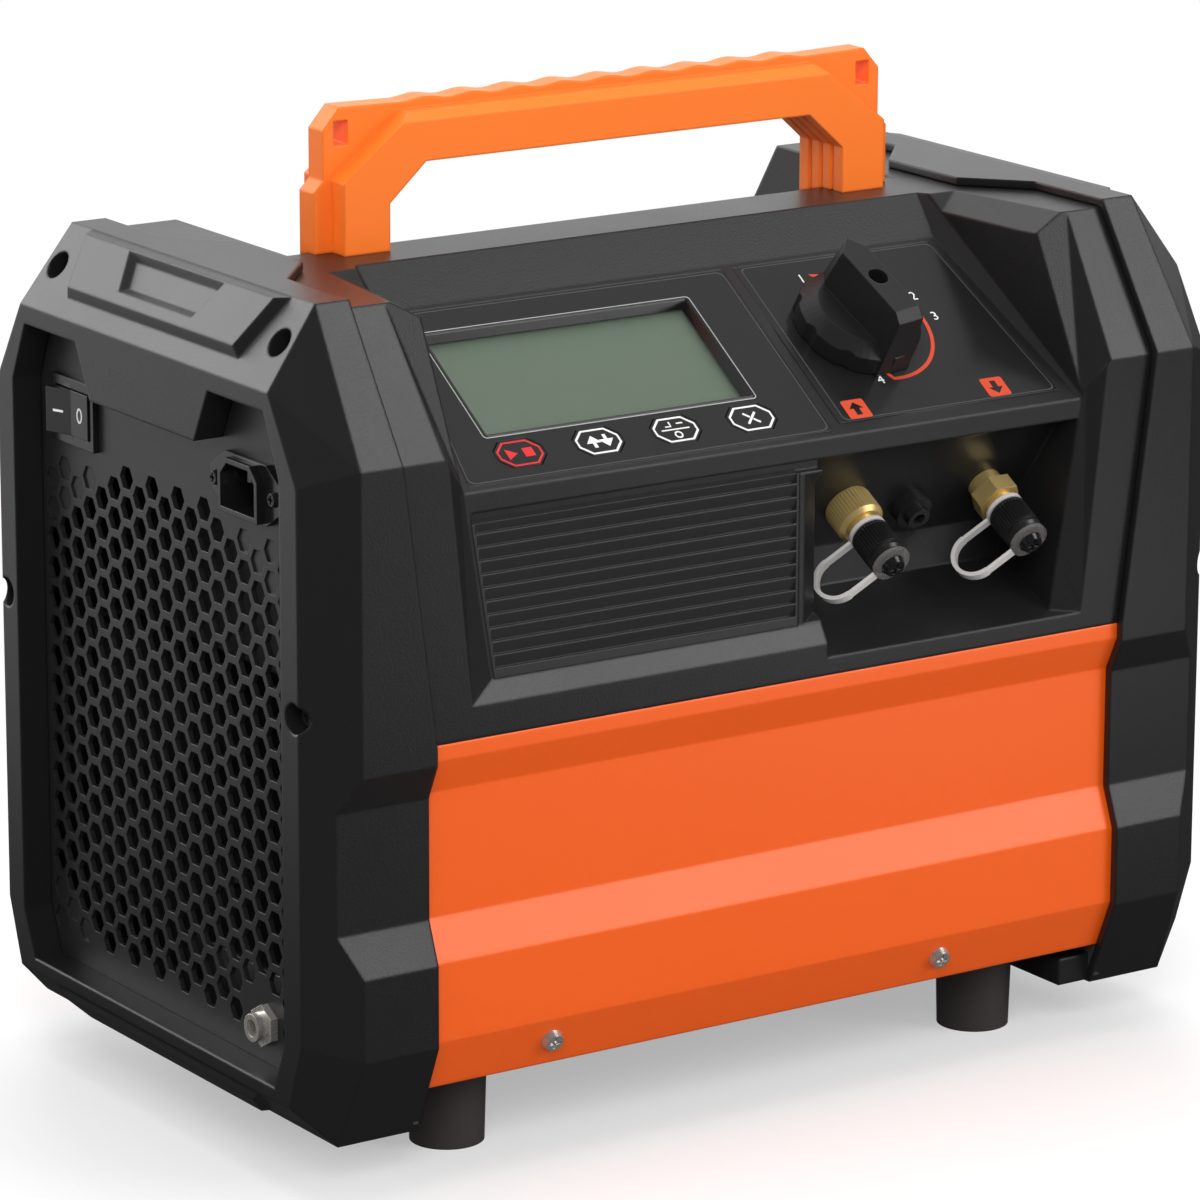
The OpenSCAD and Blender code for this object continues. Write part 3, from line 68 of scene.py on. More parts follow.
# studio: a pale floor, soft boxes and white surroundings, which glossy faces see as a gradient with bright boxes
studioSet = {"floor": 0.9, "floorHalf": 9, "fade": (0.24, 0.62, 0.4, 1.0), "bounce": 0.42, "ambient": 0.4,
             "mirror": (0.02, 1.1), "toward": (0, 0.92, 0.4), "mirrorRange": (0.0, 0.9),
             "mirrorBoxes": [((0.51, -0.53, 0.68), 0.94, 0.985, 3.9), ((0.55, -0.77, 0.31), 0.94, 0.985, 3.3),
                             ((-0.35, 0.84, 0.41), 0.88, 0.98, 2.9)],
             "floorMirror": (0.05, 0.75), "floorToward": (-0.45, 0.9, 0), "floorRange": (0.2, 1.1),
             # the sheen patch: a painted glowing patch on the floor, seen only in reflections, that lays a painted
             # sheen on the housing front
             "aim": (0, 0, 0.17), "paintedSheenPatch": ((0.46, -0.74, 0), 0.06, 0.34, 2.3),
             "boxes": [("keyBox", (-1.5, -2.3, 1.9), 1.5, 54), ("fillBox", (1.9, -2.2, 1.2), 1.5, 32),
                       ("topBox", (0.1, 0.3, 2.4), 1.8, 30), ("endBox", (-2.4, 0.2, 0.9), 1.3, 12),
                       ("backBox", (1.3, 2.4, 1.3), 1.6, 46)]}


def ranged(nt, value, low, high, toLow, toHigh):
    node = nt.nodes.new("ShaderNodeMapRange")
    node.interpolation_type = "SMOOTHSTEP"
    for key, v in (("From Min", low), ("From Max", high), ("To Min", toLow), ("To Max", toHigh)):
        node.inputs[key].default_value = v
    nt.links.new(value, node.inputs["Value"])
    return node.outputs[0]


def facing(nt, vector, toward):
    node = nt.nodes.new("ShaderNodeVectorMath")
    node.operation = "DOT_PRODUCT"
    node.inputs[1].default_value = toward
    nt.links.new(vector, node.inputs[0])
    return node.outputs["Value"]


def added(nt, a, b):
    node = nt.nodes.new("ShaderNodeMath")
    node.operation = "ADD"
    nt.links.new(a, node.inputs[0])
    nt.links.new(b, node.inputs[1])
    return node.outputs[0]


def mixed(nt, factor, a, b):
    node = nt.nodes.new("ShaderNodeMixShader")
    nt.links.new(factor, node.inputs[0])
    nt.links.new(a.outputs[0], node.inputs[1])
    nt.links.new(b.outputs[0], node.inputs[2])
    return node


def makeWorld(s):
    world = bpy.data.worlds.new("studioWorld")
    scene.world = world
    world.use_nodes = True
    nt = world.node_tree
    nt.nodes.clear()
    out = nt.nodes.new("ShaderNodeOutputWorld")
    rays = nt.nodes.new("ShaderNodeLightPath")
    coord = nt.nodes.new("ShaderNodeTexCoord")
    soft, mirror, white = [nt.nodes.new("ShaderNodeBackground") for i in range(3)]
    for node, strength in ((soft, s["ambient"]), (mirror, 1.0), (white, 1.0)):
        node.inputs["Color"].default_value = (1, 1, 1, 1)
        node.inputs["Strength"].default_value = strength
    way = coord.outputs["Generated"]
    glow = ranged(nt, facing(nt, way, s["toward"]), *s["mirrorRange"], *s["mirror"])
    for toward, low, high, strength in s["mirrorBoxes"]:
        toward = tuple(Vector(toward).normalized())
        glow = added(nt, glow, ranged(nt, facing(nt, way, toward), low, high, 0, strength))
    nt.links.new(glow, mirror.inputs["Strength"])
    seen = nt.nodes.new("ShaderNodeMath")
    seen.operation = "MAXIMUM"
    nt.links.new(rays.outputs["Is Camera Ray"], seen.inputs[0])
    nt.links.new(rays.outputs["Is Transmission Ray"], seen.inputs[1])
    lit = mixed(nt, rays.outputs["Is Glossy Ray"], soft, mirror)
    nt.links.new(mixed(nt, seen.outputs[0], lit, white).outputs[0], out.inputs["Surface"])


def makeFloor(s):
    mesh = bpy.data.meshes.new("studioFloor")
    h = s["floorHalf"]
    mesh.from_pydata([(-h, -h, 0), (h, -h, 0), (h, h, 0), (-h, h, 0)], [], [(0, 1, 2, 3)])
    floor = bpy.data.objects.new("studioFloor", mesh)
    scene.collection.objects.link(floor)
    paint = bpy.data.materials.new("floorPaint")
    paint.use_nodes = True
    nt = paint.node_tree
    nt.nodes.clear()
    out = nt.nodes.new("ShaderNodeOutputMaterial")
    rays = nt.nodes.new("ShaderNodeLightPath")
    spot = nt.nodes.new("ShaderNodeNewGeometry")
    away = nt.nodes.new("ShaderNodeVectorMath")
    away.operation = "LENGTH"
    nt.links.new(spot.outputs["Position"], away.inputs[0])
    dull, bounce = [nt.nodes.new("ShaderNodeBsdfDiffuse") for i in range(2)]
    dull.inputs["Color"].default_value = (s["floor"],) * 3 + (1,)
    bounce.inputs["Color"].default_value = (s["bounce"],) * 3 + (1,)
    glow, mirror = [nt.nodes.new("ShaderNodeEmission") for i in range(2)]
    glow.inputs["Strength"].default_value = 1.0
    behind = facing(nt, spot.outputs["Position"], s["floorToward"])
    behind = ranged(nt, behind, *s["floorRange"], *s["floorMirror"])
    # reflected rays see the floor glow, brighter behind the object, plus a painted glowing patch in front that lays
    # a painted sheen on the housing front
    middle, low, high, strength = s["paintedSheenPatch"]
    apart = nt.nodes.new("ShaderNodeVectorMath")
    apart.operation = "DISTANCE"
    apart.inputs[1].default_value = middle
    nt.links.new(spot.outputs["Position"], apart.inputs[0])
    paintedSheenPatch = ranged(nt, apart.outputs["Value"], low, high, strength, 0)
    nt.links.new(added(nt, behind, paintedSheenPatch), mirror.inputs["Strength"])
    shown = mixed(nt, ranged(nt, away.outputs["Value"], *s["fade"]), dull, glow)
    other = mixed(nt, rays.outputs["Is Glossy Ray"], bounce, mirror)
    nt.links.new(mixed(nt, rays.outputs["Is Camera Ray"], other, shown).outputs[0], out.inputs["Surface"])
    mesh.materials.append(paint)


def makeLamps(s):
    for name, place, size, power in s["boxes"]:
        lamp = bpy.data.lights.new(name, "AREA")
        lamp.size, lamp.energy = size, power
        box = bpy.data.objects.new(name, lamp)
        box.location = place
        box.visible_glossy = False
        box.rotation_euler = (Vector(s["aim"]) - Vector(place)).to_track_quat("-Z", "Y").to_euler()
        scene.collection.objects.link(box)


makeWorld(studioSet)
makeFloor(studioSet)
makeLamps(studioSet)
scene.view_settings.view_transform = "Standard"
print("studio lit")


# finishes: each is a noise-driven principled shader; those given an edge radius have their edges softened by a
# bevel normal
finishBase = {"cloud": 18, "cloudDetail": 5, "cloudRough": 0.6, "cloudShare": 0.45, "grain": 1300, "grainDetail": 2,
              "grainShare": 0.55, "stretch": (1, 1, 1), "spread": 0.12, "middle": (0.3, 0.7), "bump": 0.12,
              "bumpDeep": 0.00025, "edge": 0, "edgeSamples": 6, "metal": 0, "shine": 0.5, "solid": 1}


def makeFinish(name, own):
    s = {**finishBase, **own}
    mat = bpy.data.materials.new(name)
    mat.use_nodes = True
    nt = mat.node_tree
    bsdf = nt.nodes["Principled BSDF"]
    coord = nt.nodes.new("ShaderNodeTexCoord")
    cloud = nt.nodes.new("ShaderNodeTexNoise")
    cloud.inputs["Scale"].default_value = s["cloud"]
    cloud.inputs["Detail"].default_value = s["cloudDetail"]
    cloud.inputs["Roughness"].default_value = s["cloudRough"]
    grain = nt.nodes.new("ShaderNodeTexNoise")
    grain.inputs["Scale"].default_value = s["grain"]
    grain.inputs["Detail"].default_value = s["grainDetail"]
    stretch = nt.nodes.new("ShaderNodeMapping")
    stretch.inputs["Scale"].default_value = s["stretch"]
    nt.links.new(coord.outputs["Object"], cloud.inputs["Vector"])
    nt.links.new(coord.outputs["Object"], stretch.inputs["Vector"])
    nt.links.new(stretch.outputs[0], grain.inputs["Vector"])
    tone = nt.nodes.new("ShaderNodeMix")
    tone.data_type = "RGBA"
    spread = s["spread"]
    base = Vector(s["colour"])
    tone.inputs["A"].default_value = (*(base * (1 - spread)), 1)
    tone.inputs["B"].default_value = (*[min(1, c) for c in base * (1 + spread)], 1)
    blendIn = nt.nodes.new("ShaderNodeMath")
    blendIn.operation = "MULTIPLY_ADD"
    blendIn.inputs[1].default_value = s["cloudShare"]
    fine = nt.nodes.new("ShaderNodeMath")
    fine.operation = "MULTIPLY"
    fine.inputs[1].default_value = s["grainShare"]
    nt.links.new(grain.outputs["Fac"], fine.inputs[0])
    nt.links.new(cloud.outputs["Fac"], blendIn.inputs[0])
    nt.links.new(fine.outputs[0], blendIn.inputs[2])
    nt.links.new(blendIn.outputs[0], tone.inputs["Factor"])
    nt.links.new(tone.outputs["Result"], bsdf.inputs["Base Color"])
    rough = nt.nodes.new("ShaderNodeMapRange")
    rough.inputs["To Min"].default_value = s["rough"][0]
    rough.inputs["To Max"].default_value = s["rough"][1]
    rough.inputs["From Min"].default_value = s["middle"][0]
    rough.inputs["From Max"].default_value = s["middle"][1]
    nt.links.new(blendIn.outputs[0], rough.inputs["Value"])
    nt.links.new(rough.outputs[0], bsdf.inputs["Roughness"])
    bump = nt.nodes.new("ShaderNodeBump")
    bump.inputs["Strength"].default_value = s["bump"]
    bump.inputs["Distance"].default_value = s["bumpDeep"]
    nt.links.new(grain.outputs["Fac"], bump.inputs["Height"])
    if s["edge"]:
        edge = nt.nodes.new("ShaderNodeBevel")
        edge.samples = s["edgeSamples"]
        edge.inputs["Radius"].default_value = s["edge"]
        nt.links.new(edge.outputs[0], bump.inputs["Normal"])
    nt.links.new(bump.outputs[0], bsdf.inputs["Normal"])
    bsdf.inputs["Metallic"].default_value = s["metal"]
    bsdf.inputs["Specular IOR Level"].default_value = s["shine"]
    bsdf.inputs["Alpha"].default_value = s["solid"]
    return mat


finishSet = {
    "blackMoulding": {"colour": (0.0115, 0.0115, 0.012), "rough": (0.3, 0.4), "shine": 0.5, "bump": 0.28,
                      "grain": 1500, "cloud": 14, "spread": 0.16, "edge": 0.0016},
    "grilleMoulding": {"colour": (0.014, 0.014, 0.0145), "rough": (0.34, 0.44), "shine": 0.5, "bump": 0.12,
                       "grain": 1500, "cloud": 12, "edge": 0.0005},
    # the louvre is black moulding painted about twice as light: a painted highlight for the light its slats catch
    "louvreHighlightMoulding": {"colour": (0.025, 0.025, 0.0255), "rough": (0.34, 0.44), "shine": 0.5, "bump": 0.2,
                       "grain": 1500, "cloud": 12, "edge": 0.0006},
    "orangePaint": {"colour": (0.86, 0.109, 0.004), "rough": (0.32, 0.4), "shine": 0.66, "bump": 0.06,
                    "grain": 700, "cloud": 9, "spread": 0.025, "edge": 0.0016},
    "orangeMoulding": {"colour": (1.0, 0.2, 0.022), "rough": (0.36, 0.48), "shine": 0.4, "bump": 0.12,
                       "grain": 1400, "cloud": 20, "spread": 0.03, "edge": 0.0013},
    "overlayFilm": {"colour": (0.011, 0.011, 0.0115), "rough": (0.16, 0.22), "shine": 0.5, "bump": 0.1,
                    "grain": 1900, "cloud": 22, "edge": 0.0004},
    "displayGlass": {"colour": (0.3, 0.35, 0.3), "rough": (0.05, 0.08), "shine": 0.5, "bump": 0.0,
                     "solid": 0.06, "spread": 0.01},
    "displayPanel": {"colour": (0.094, 0.129, 0.092), "rough": (0.4, 0.45), "shine": 0.3, "bump": 0.0,
                     "cloud": 6, "grain": 40, "spread": 0.03},
    "keyFilm": {"colour": (0.011, 0.011, 0.0115), "rough": (0.16, 0.22), "shine": 0.5, "bump": 0.1,
                "grain": 1900, "edge": 0.0003},
    "knobPlastic": {"colour": (0.011, 0.011, 0.012), "rough": (0.3, 0.42), "shine": 0.42, "bump": 0.08,
                    "grain": 1500, "edge": 0.0008},
    "nickel": {"colour": (0.74, 0.71, 0.66), "rough": (0.2, 0.32), "metal": 0.8, "bump": 0.05,
               "grain": 900, "spread": 0.06, "edge": 0.0003},
    "blackSteel": {"colour": (0.011, 0.011, 0.012), "rough": (0.3, 0.44), "shine": 0.45, "bump": 0.06,
                   "edge": 0.0003},
    # near-black: a painted shade for the dark inside of the case
    "panelInsideShade": {"colour": (0.035, 0.032, 0.03), "rough": (0.6, 0.75), "shine": 0.2, "bump": 0.06},
    "plainSteel": {"colour": (0.5, 0.51, 0.52), "rough": (0.26, 0.4), "metal": 1, "bump": 0.06,
                   "grain": 700, "stretch": (1, 8, 8), "edge": 0.0003},
    "zincPlate": {"colour": (0.52, 0.53, 0.54), "rough": (0.36, 0.5), "metal": 1, "bump": 0.04,
                  "grain": 300, "edge": 0.0004},
    "turnedBrass": {"colour": (1.0, 0.72, 0.29), "rough": (0.34, 0.46), "metal": 0.75, "bump": 0.06,
                    "grain": 900, "spread": 0.08, "edge": 0.0001},
    "castAluminium": {"colour": (0.5, 0.51, 0.52), "rough": (0.4, 0.58), "metal": 1, "bump": 0.25,
                      "grain": 600, "edge": 0.0006},
    "capPlastic": {"colour": (0.012, 0.012, 0.013), "rough": (0.26, 0.36), "shine": 0.5, "bump": 0.08,
                   "edge": 0.0001},
    "whiteNylon": {"colour": (0.64, 0.62, 0.6), "rough": (0.34, 0.46), "shine": 0.45, "bump": 0.06,
                   "spread": 0.03, "edge": 0.0004},
    "clearNylon": {"colour": (0.4, 0.38, 0.37), "rough": (0.12, 0.2), "shine": 0.6, "bump": 0.04,
                   "solid": 0.2, "spread": 0.03, "edge": 0.0004},
    "footRubber": {"colour": (0.044, 0.037, 0.037), "rough": (0.6, 0.74), "shine": 0.3, "bump": 0.22,
                   "grain": 1100, "edge": 0.0012},
    "glossBlack": {"colour": (0.009, 0.009, 0.0095), "rough": (0.14, 0.22), "shine": 0.5, "bump": 0.03,
                   "edge": 0.0005},
    "boardGreen": {"colour": (0.02, 0.11, 0.05), "rough": (0.3, 0.45), "shine": 0.4},
    "copperTube": {"colour": (0.62, 0.26, 0.13), "rough": (0.22, 0.36), "metal": 1, "grain": 500},
    "whiteInk": {"colour": (0.78, 0.78, 0.77), "rough": (0.42, 0.5), "shine": 0.3, "spread": 0.03},
    "redInk": {"colour": (0.62, 0.03, 0.035), "rough": (0.4, 0.48), "shine": 0.3, "spread": 0.05},
    "orangeInk": {"colour": (0.58, 0.066, 0.028), "rough": (0.4, 0.48), "shine": 0.3, "spread": 0.05},
    "greyInk": {"colour": (0.055, 0.055, 0.057), "rough": (0.3, 0.4), "shine": 0.5, "spread": 0.05},
    # light grey: a painted highlight for the lit edge of the window's bevel
    "bezelPaintedHighlight": {"colour": (0.4, 0.42, 0.41), "rough": (0.16, 0.26), "shine": 0.6, "spread": 0.05},
}
finish = {name: makeFinish(name, s) for name, s in finishSet.items()}
print("finishes made:", len(finish))

slotFinish = {
    "zinc_plate": "zincPlate", "orange_paint": "orangePaint", "black_moulding": "blackMoulding",
    "overlay_film": "overlayFilm", "display_glass": "displayGlass", "display_panel": "displayPanel",
    "key_film": "keyFilm", "knob_plastic": "knobPlastic", "nickel": "nickel",
    "plain_steel": "plainSteel", "brass": "turnedBrass", "bare_aluminium": "castAluminium",
    "cap_plastic": "capPlastic", "white_nylon": "whiteNylon", "orange_moulding": "orangeMoulding",
    "foot_rubber": "footRubber", "black_steel": "blackSteel", "gloss_black": "glossBlack",
    "board": "boardGreen", "copper": "copperTube",
}
nodeSlot = {p["node"]: p["material_slot"] for p in frame["record"]["subparts"]}
nodeFinish = {"left_grille": "grilleMoulding", "right_grille": "grilleMoulding",
              "vent_louvre": "louvreHighlightMoulding", "inlet_screws": "blackSteel"}
# edges sharper than this many degrees stay crisp; panel faces past these normals take a near-black finish, painted
# shade for the dark inside of the case
dressSet = {"sharp": 24, "inward": -0.05, "level": 0.97, "endOn": 0.9}


def dressNode(name, obj, s):
    mat = finish[nodeFinish.get(name, slotFinish[nodeSlot[name]])]
    obj.data.materials.clear()
    obj.data.materials.append(mat)
    for p in obj.data.polygons:
        p.use_smooth = True
        p.material_index = 0
    # the orange panels' inward faces and sheet edges take the near-black finish: painted shade for the case's dark
    # inside
    if nodeSlot[name] == "orange_paint":
        obj.data.materials.append(finish["panelInsideShade"])
        outward = -1 if name == "front_panel" else 1
        for p in obj.data.polygons:
            n = p.normal
            if n.y * outward < s["inward"] or abs(n.z) > s["level"] or abs(n.x) > s["endOn"]:
                p.material_index = 1
    sharp = math.cos(math.radians(s["sharp"]))
    faceNormal = {}
    for p in obj.data.polygons:
        for key in p.edge_keys:
            faceNormal.setdefault(key, []).append(p.normal)
    for e in obj.data.edges:
        sides = faceNormal.get(tuple(sorted(e.vertices)), [])
        e.use_edge_sharp = len(sides) != 2 or sides[0].dot(sides[1]) < sharp


for nodeName, nodeObj in cadNodes.items():
    dressNode(nodeName, nodeObj, dressSet)
print("CAD nodes dressed")

# the control panel's frame: x along the length, s up the slope, out along its normal, all in mm
panelSet = {"lip": (0, -113.2, 252.0), "tilt": 33.5}
panelTilt = math.radians(panelSet["tilt"])
panelUp = Vector((0, math.cos(panelTilt), math.sin(panelTilt)))
panelOut = Vector((0, -math.sin(panelTilt), math.cos(panelTilt)))


def onPanel(x, s, out=0.0):
    return (Vector(panelSet["lip"]) + Vector((x, 0, 0)) + panelUp * s + panelOut * out) * mm


def addPiece(name, bm, mat, body, smooth=False):
    mesh = bpy.data.meshes.new(name)
    bmesh.ops.recalc_face_normals(bm, faces=bm.faces)
    bm.to_mesh(mesh)
    bm.free()
    mesh.materials.append(mat)
    for p in mesh.polygons:
        p.use_smooth = smooth
    obj = bpy.data.objects.new(name, mesh)
    scene.collection.objects.link(obj)
    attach(obj, body)
    return obj


# closed prints: outlines of (x, s) points in mm lifted off a face by a film's thickness
def printRing(bm, outer, inner, place, low, high):
    rows = []
    for ring in (outer, inner):
        rows.append([bm.verts.new(place(x, s, low)) for x, s in ring])
        rows.append([bm.verts.new(place(x, s, high)) for x, s in ring])
    oLow, oHigh, iLow, iHigh = rows
    n = len(outer)
    for i in range(n):
        j = (i + 1) % n
        bm.faces.new((oLow[i], oLow[j], oHigh[j], oHigh[i]))
        bm.faces.new((iLow[j], iLow[i], iHigh[i], iHigh[j]))
        bm.faces.new((oHigh[i], oHigh[j], iHigh[j], iHigh[i]))
        bm.faces.new((oLow[j], oLow[i], iLow[i], iLow[j]))


def printShape(bm, outline, place, low, high):
    a = [bm.verts.new(place(x, s, low)) for x, s in outline]
    b = [bm.verts.new(place(x, s, high)) for x, s in outline]
    n = len(outline)
    for i in range(n):
        j = (i + 1) % n
        bm.faces.new((a[i], a[j], b[j], b[i]))
    bm.faces.new(b)
    bm.faces.new(a[::-1])


def strip(points, width):
    left, right = [], []
    for i, p in enumerate(points):
        a = Vector(points[max(i - 1, 0)])
        b = Vector(points[min(i + 1, len(points) - 1)])
        d = (b - a).normalized()
        q = Vector((-d.y, d.x)) * width / 2
        left.append(tuple(Vector(p) + q))
        right.append(tuple(Vector(p) - q))
    return left + right[::-1]


def arcPoints(cx, cy, r, a0, a1, n):
    return [(cx + r * math.cos(math.radians(a0 + (a1 - a0) * i / n)),
             cy + r * math.sin(math.radians(a0 + (a1 - a0) * i / n))) for i in range(n + 1)]


def shifted(points, x, s):
    return [(p[0] + x, p[1] + s) for p in points]


def octagon(w, h, c):
    return [(c - w, -h), (w - c, -h), (w, c - h), (w, h - c), (w - c, h), (c - w, h), (-w, h - c), (-w, c - h)]


filmLow, filmHigh = -0.02, 0.12
print("panel frame ready")

def square(cx, cy, h):
    return [(cx - h, cy - h), (cx + h, cy - h), (cx + h, cy + h), (cx - h, cy + h)]


# keys: an outline and a plain sign on each, drawn about the key's middle
upArrow = [(-5.2, -0.6), (-2.8, -0.6), (-2.8, -2.9), (-1.4, -2.9), (-1.4, -0.6), (1.0, -0.6), (-2.1, 3.0)]
downArrow = [(-3.1, 0.6), (-0.7, 0.6), (-0.7, 2.9), (0.7, 2.9), (0.7, 0.6), (3.1, 0.6), (0, -3.0)]
keySet = {"first": -105.0, "pitch": 33.3, "s": 14.8, "half": (9.1, 5.9), "corner": 4.0, "line": 0.75,
          "cornerShare": 0.42, "zero": {"drop": 2.6, "outer": 1.7, "inner": 1.1},
          "bodies": ("run_key", "mode_key", "units_key", "cancel_key"),
          "signs": [[[(-5.4, -2.6), (-5.4, 2.6), (-1.0, 0)], square(3.6, 0, 2.1)],
                    [upArrow, shifted(downArrow, 3.4, 0)],
                    [strip([(-6, 0.1), (6, 0.1)], 0.55), strip([(-3.6, 1.7), (-1.2, 1.7), (-1.2, 4.0)], 0.6),
                     strip([(1.6, 2.8), (3.0, 2.8), (4.4, 2.8)], 0.6)],
                    [strip([(-2.6, -2.6), (2.6, 2.6)], 0.9), strip([(-2.6, 2.6), (-0.5, 0.5)], 0.9),
                     strip([(0.5, -0.5), (2.6, -2.6)], 0.9)]]}


def keyPrints(s):
    w, h = s["half"]
    t, c = s["line"], s["corner"]
    inner = octagon(w - t, h - t, c - t * s["cornerShare"])
    for i, body in enumerate(s["bodies"]):
        x = s["first"] + i * s["pitch"]
        bm = bmesh.new()
        printRing(bm, shifted(octagon(w, h, c), x, s["s"]), shifted(inner, x, s["s"]), onPanel, filmLow, filmHigh)
        for sign in s["signs"][i]:
            printShape(bm, shifted(sign, x, s["s"]), onPanel, filmLow, filmHigh)
        if body == "units_key":
            z = s["zero"]
            rings = [arcPoints(x, s["s"] - z["drop"], r, 0, 345, 23) for r in (z["outer"], z["inner"])]
            printRing(bm, *rings, onPanel, filmLow, filmHigh)
        ink = finish["redInk" if body == "run_key" else "whiteInk"]
        addPiece("keyPrint" + str(i + 1), bm, ink, body)


keyPrints(keySet)
print("keys printed")

# overlay borders and the bevel round the display window, with a painted highlight line along it
borderSet = {"window": (-56.2, 50.7, 114.5, 50.5), "bezel": 1.5, "line": 0.45, "lineLift": 0.6,
             # growth, corner radius and height of the bezel's rings, from its foot over its crest into the window
             "rings": [(1.5, 1.6, -0.02), (1.0, 1.4, 0.35), (0.0, 0.8, 0.1), (-1.6, 0.6, -2.9)],
             # rings of the painted highlight line round the bevel: growth and corner radius
             "rim": [(0.25, 1.7), (-0.1, 1.5)],
             "displayBorder": ([(-132.2, 3.6), (23.4, 3.6), (23.4, 87.4), (-119.4, 87.4)], 3.5),
             "selectorBorder": ([(31.6, 6.7), (128.6, 6.7), (119.4, 87.6), (31.6, 87.6)], 2.5)}


def boxRing(cx, cy, w, h, grow, r, n=5):
    pts = []
    hw, hh = w / 2 + grow, h / 2 + grow
    for sx, sy, a in ((1, -1, -90), (1, 1, 0), (-1, 1, 90), (-1, -1, 180)):
        pts += arcPoints(cx + sx * (hw - r), cy + sy * (hh - r), r, a, a + 90, n)
    return pts


def panelBorders(s):
    bm = bmesh.new()
    rings = []
    for grow, r, out in s["rings"]:
        rings.append([bm.verts.new(onPanel(x, q, out)) for x, q in boxRing(*s["window"], grow, r)])
    n = len(rings[0])
    for r0, r1 in zip(rings, rings[1:]):
        for i in range(n):
            j = (i + 1) % n
            bm.faces.new((r0[i], r0[j], r1[j], r1[i]))
    addPiece("windowBezel", bm, finish["glossBlack"], "case")
    # a thin light-grey ring just outside the bevel: a painted highlight
    bm = bmesh.new()
    outer, inner = [boxRing(*s["window"], s["bezel"] + grow, r) for grow, r in s["rim"]]
    printRing(bm, outer, inner, onPanel, filmLow, filmHigh)
    addPiece("windowHighlightLine", bm, finish["bezelPaintedHighlight"], "case")


panelBorders(borderSet)


def roundCorners(corners, r, n=5):
    pts = []
    for i, c in enumerate(corners):
        here = Vector(c)
        toward = (Vector(corners[i - 1]) - here).normalized()
        onward = (Vector(corners[(i + 1) % len(corners)]) - here).normalized()
        for k in range(n + 1):
            f = k / n
            a, b = here + toward * r * (1 - f), here + onward * r * f
            pts.append(tuple(a.lerp(b, f)))
    return pts


def overlayLine(name, s):
    corners, r = s[name]
    width = s["line"]
    bm = bmesh.new()
    middle = sum((Vector(c) for c in corners), Vector((0, 0))) / len(corners)
    inner = [(x - math.copysign(width, x - middle.x), y - math.copysign(width, y - middle.y)) for x, y in corners]
    printRing(bm, roundCorners(corners, r), roundCorners(inner, r), onPanel, filmLow, filmHigh * s["lineLift"])
    addPiece(name, bm, finish["greyInk"], "case")


overlayLine("displayBorder", borderSet)
overlayLine("selectorBorder", borderSet)
print("panel borders drawn")

# the selector's dial: an arc, position marks with plain numbers, and flow arrows over the fittings
dialSet = {"centre": (66.5, 50.4), "radius": 27.2, "width": 1.5, "numberSize": 6.0, "sweep": (12, -95, 40),
           "hook": [(63.2, 25.2), (62.6, 26.6)], "wedge": [(58.6, 80.2), (63.4, 79.4), (62.0, 75.6)],
           "marks": [("1", 54.6, 78.3), ("2", 96.4, 62.0), ("3", 99.6, 50.7), ("4", 58.2, 23.6)],
           "arrows": [(39.8, 11.5, 1), (103.8, 12.0, -1)], "tile": (10.0, 9.4, 0, 1.0, 4), "inkLift": 0.08,
           "arrow": [(-1.2, -3.0), (1.2, -3.0), (1.2, 0.2), (3.1, 0.2), (0, 3.3), (-3.1, 0.2), (-1.2, 0.2)]}


def textMesh(bm, word, size, x, s, place):
    curve = bpy.data.curves.new("markText", "FONT")
    curve.body, curve.size = word, size
    curve.align_x, curve.align_y = "CENTER", "CENTER"
    curve.resolution_u = 3
    obj = bpy.data.objects.new("markText", curve)
    scene.collection.objects.link(obj)
    bpy.context.view_layer.update()
    shape = obj.evaluated_get(bpy.context.evaluated_depsgraph_get()).to_mesh()
    start = len(bm.verts)
    verts = [bm.verts.new(place(v.co.x + x, v.co.y + s, filmHigh)) for v in shape.vertices]
    for p in shape.polygons:
        bm.faces.new([verts[i] for i in p.vertices])
    bm.verts.ensure_lookup_table()
    faces = list({f for v in bm.verts[start:] for f in v.link_faces})
    down = bmesh.ops.extrude_face_region(bm, geom=faces)
    moved = [g for g in down["geom"] if isinstance(g, bmesh.types.BMVert)]
    bmesh.ops.translate(bm, verts=moved, vec=panelOut * (filmLow - filmHigh) * mm)
    bpy.data.objects.remove(obj)
    bpy.data.curves.remove(curve)


def dialPrints(s):
    cx, cy = s["centre"]
    bm = bmesh.new()
    line = arcPoints(cx, cy, s["radius"], *s["sweep"]) + s["hook"]
    printShape(bm, strip(line, s["width"]), onPanel, filmLow, filmHigh)
    printShape(bm, s["wedge"], onPanel, filmLow, filmHigh)
    addPiece("dialArc", bm, finish["orangeInk"], "case")
    bm = bmesh.new()
    for word, x, q in s["marks"]:
        textMesh(bm, word, s["numberSize"], x, q, onPanel)
    addPiece("dialNumbers", bm, finish["whiteInk"], "case")
    bm, ink = bmesh.new(), bmesh.new()
    for x, q, way in s["arrows"]:
        printShape(bm, boxRing(x, q, *s["tile"]), onPanel, filmLow, filmHigh)
        arrow = shifted([(a * way, b * way) for a, b in s["arrow"]], x, q)
        printShape(ink, arrow, onPanel, filmHigh, filmHigh + s["inkLift"])
    addPiece("flowTiles", bm, finish["orangeInk"], "case")
    addPiece("flowArrows", ink, finish["overlayFilm"], "case")


dialPrints(dialSet)
print("dial drawn")

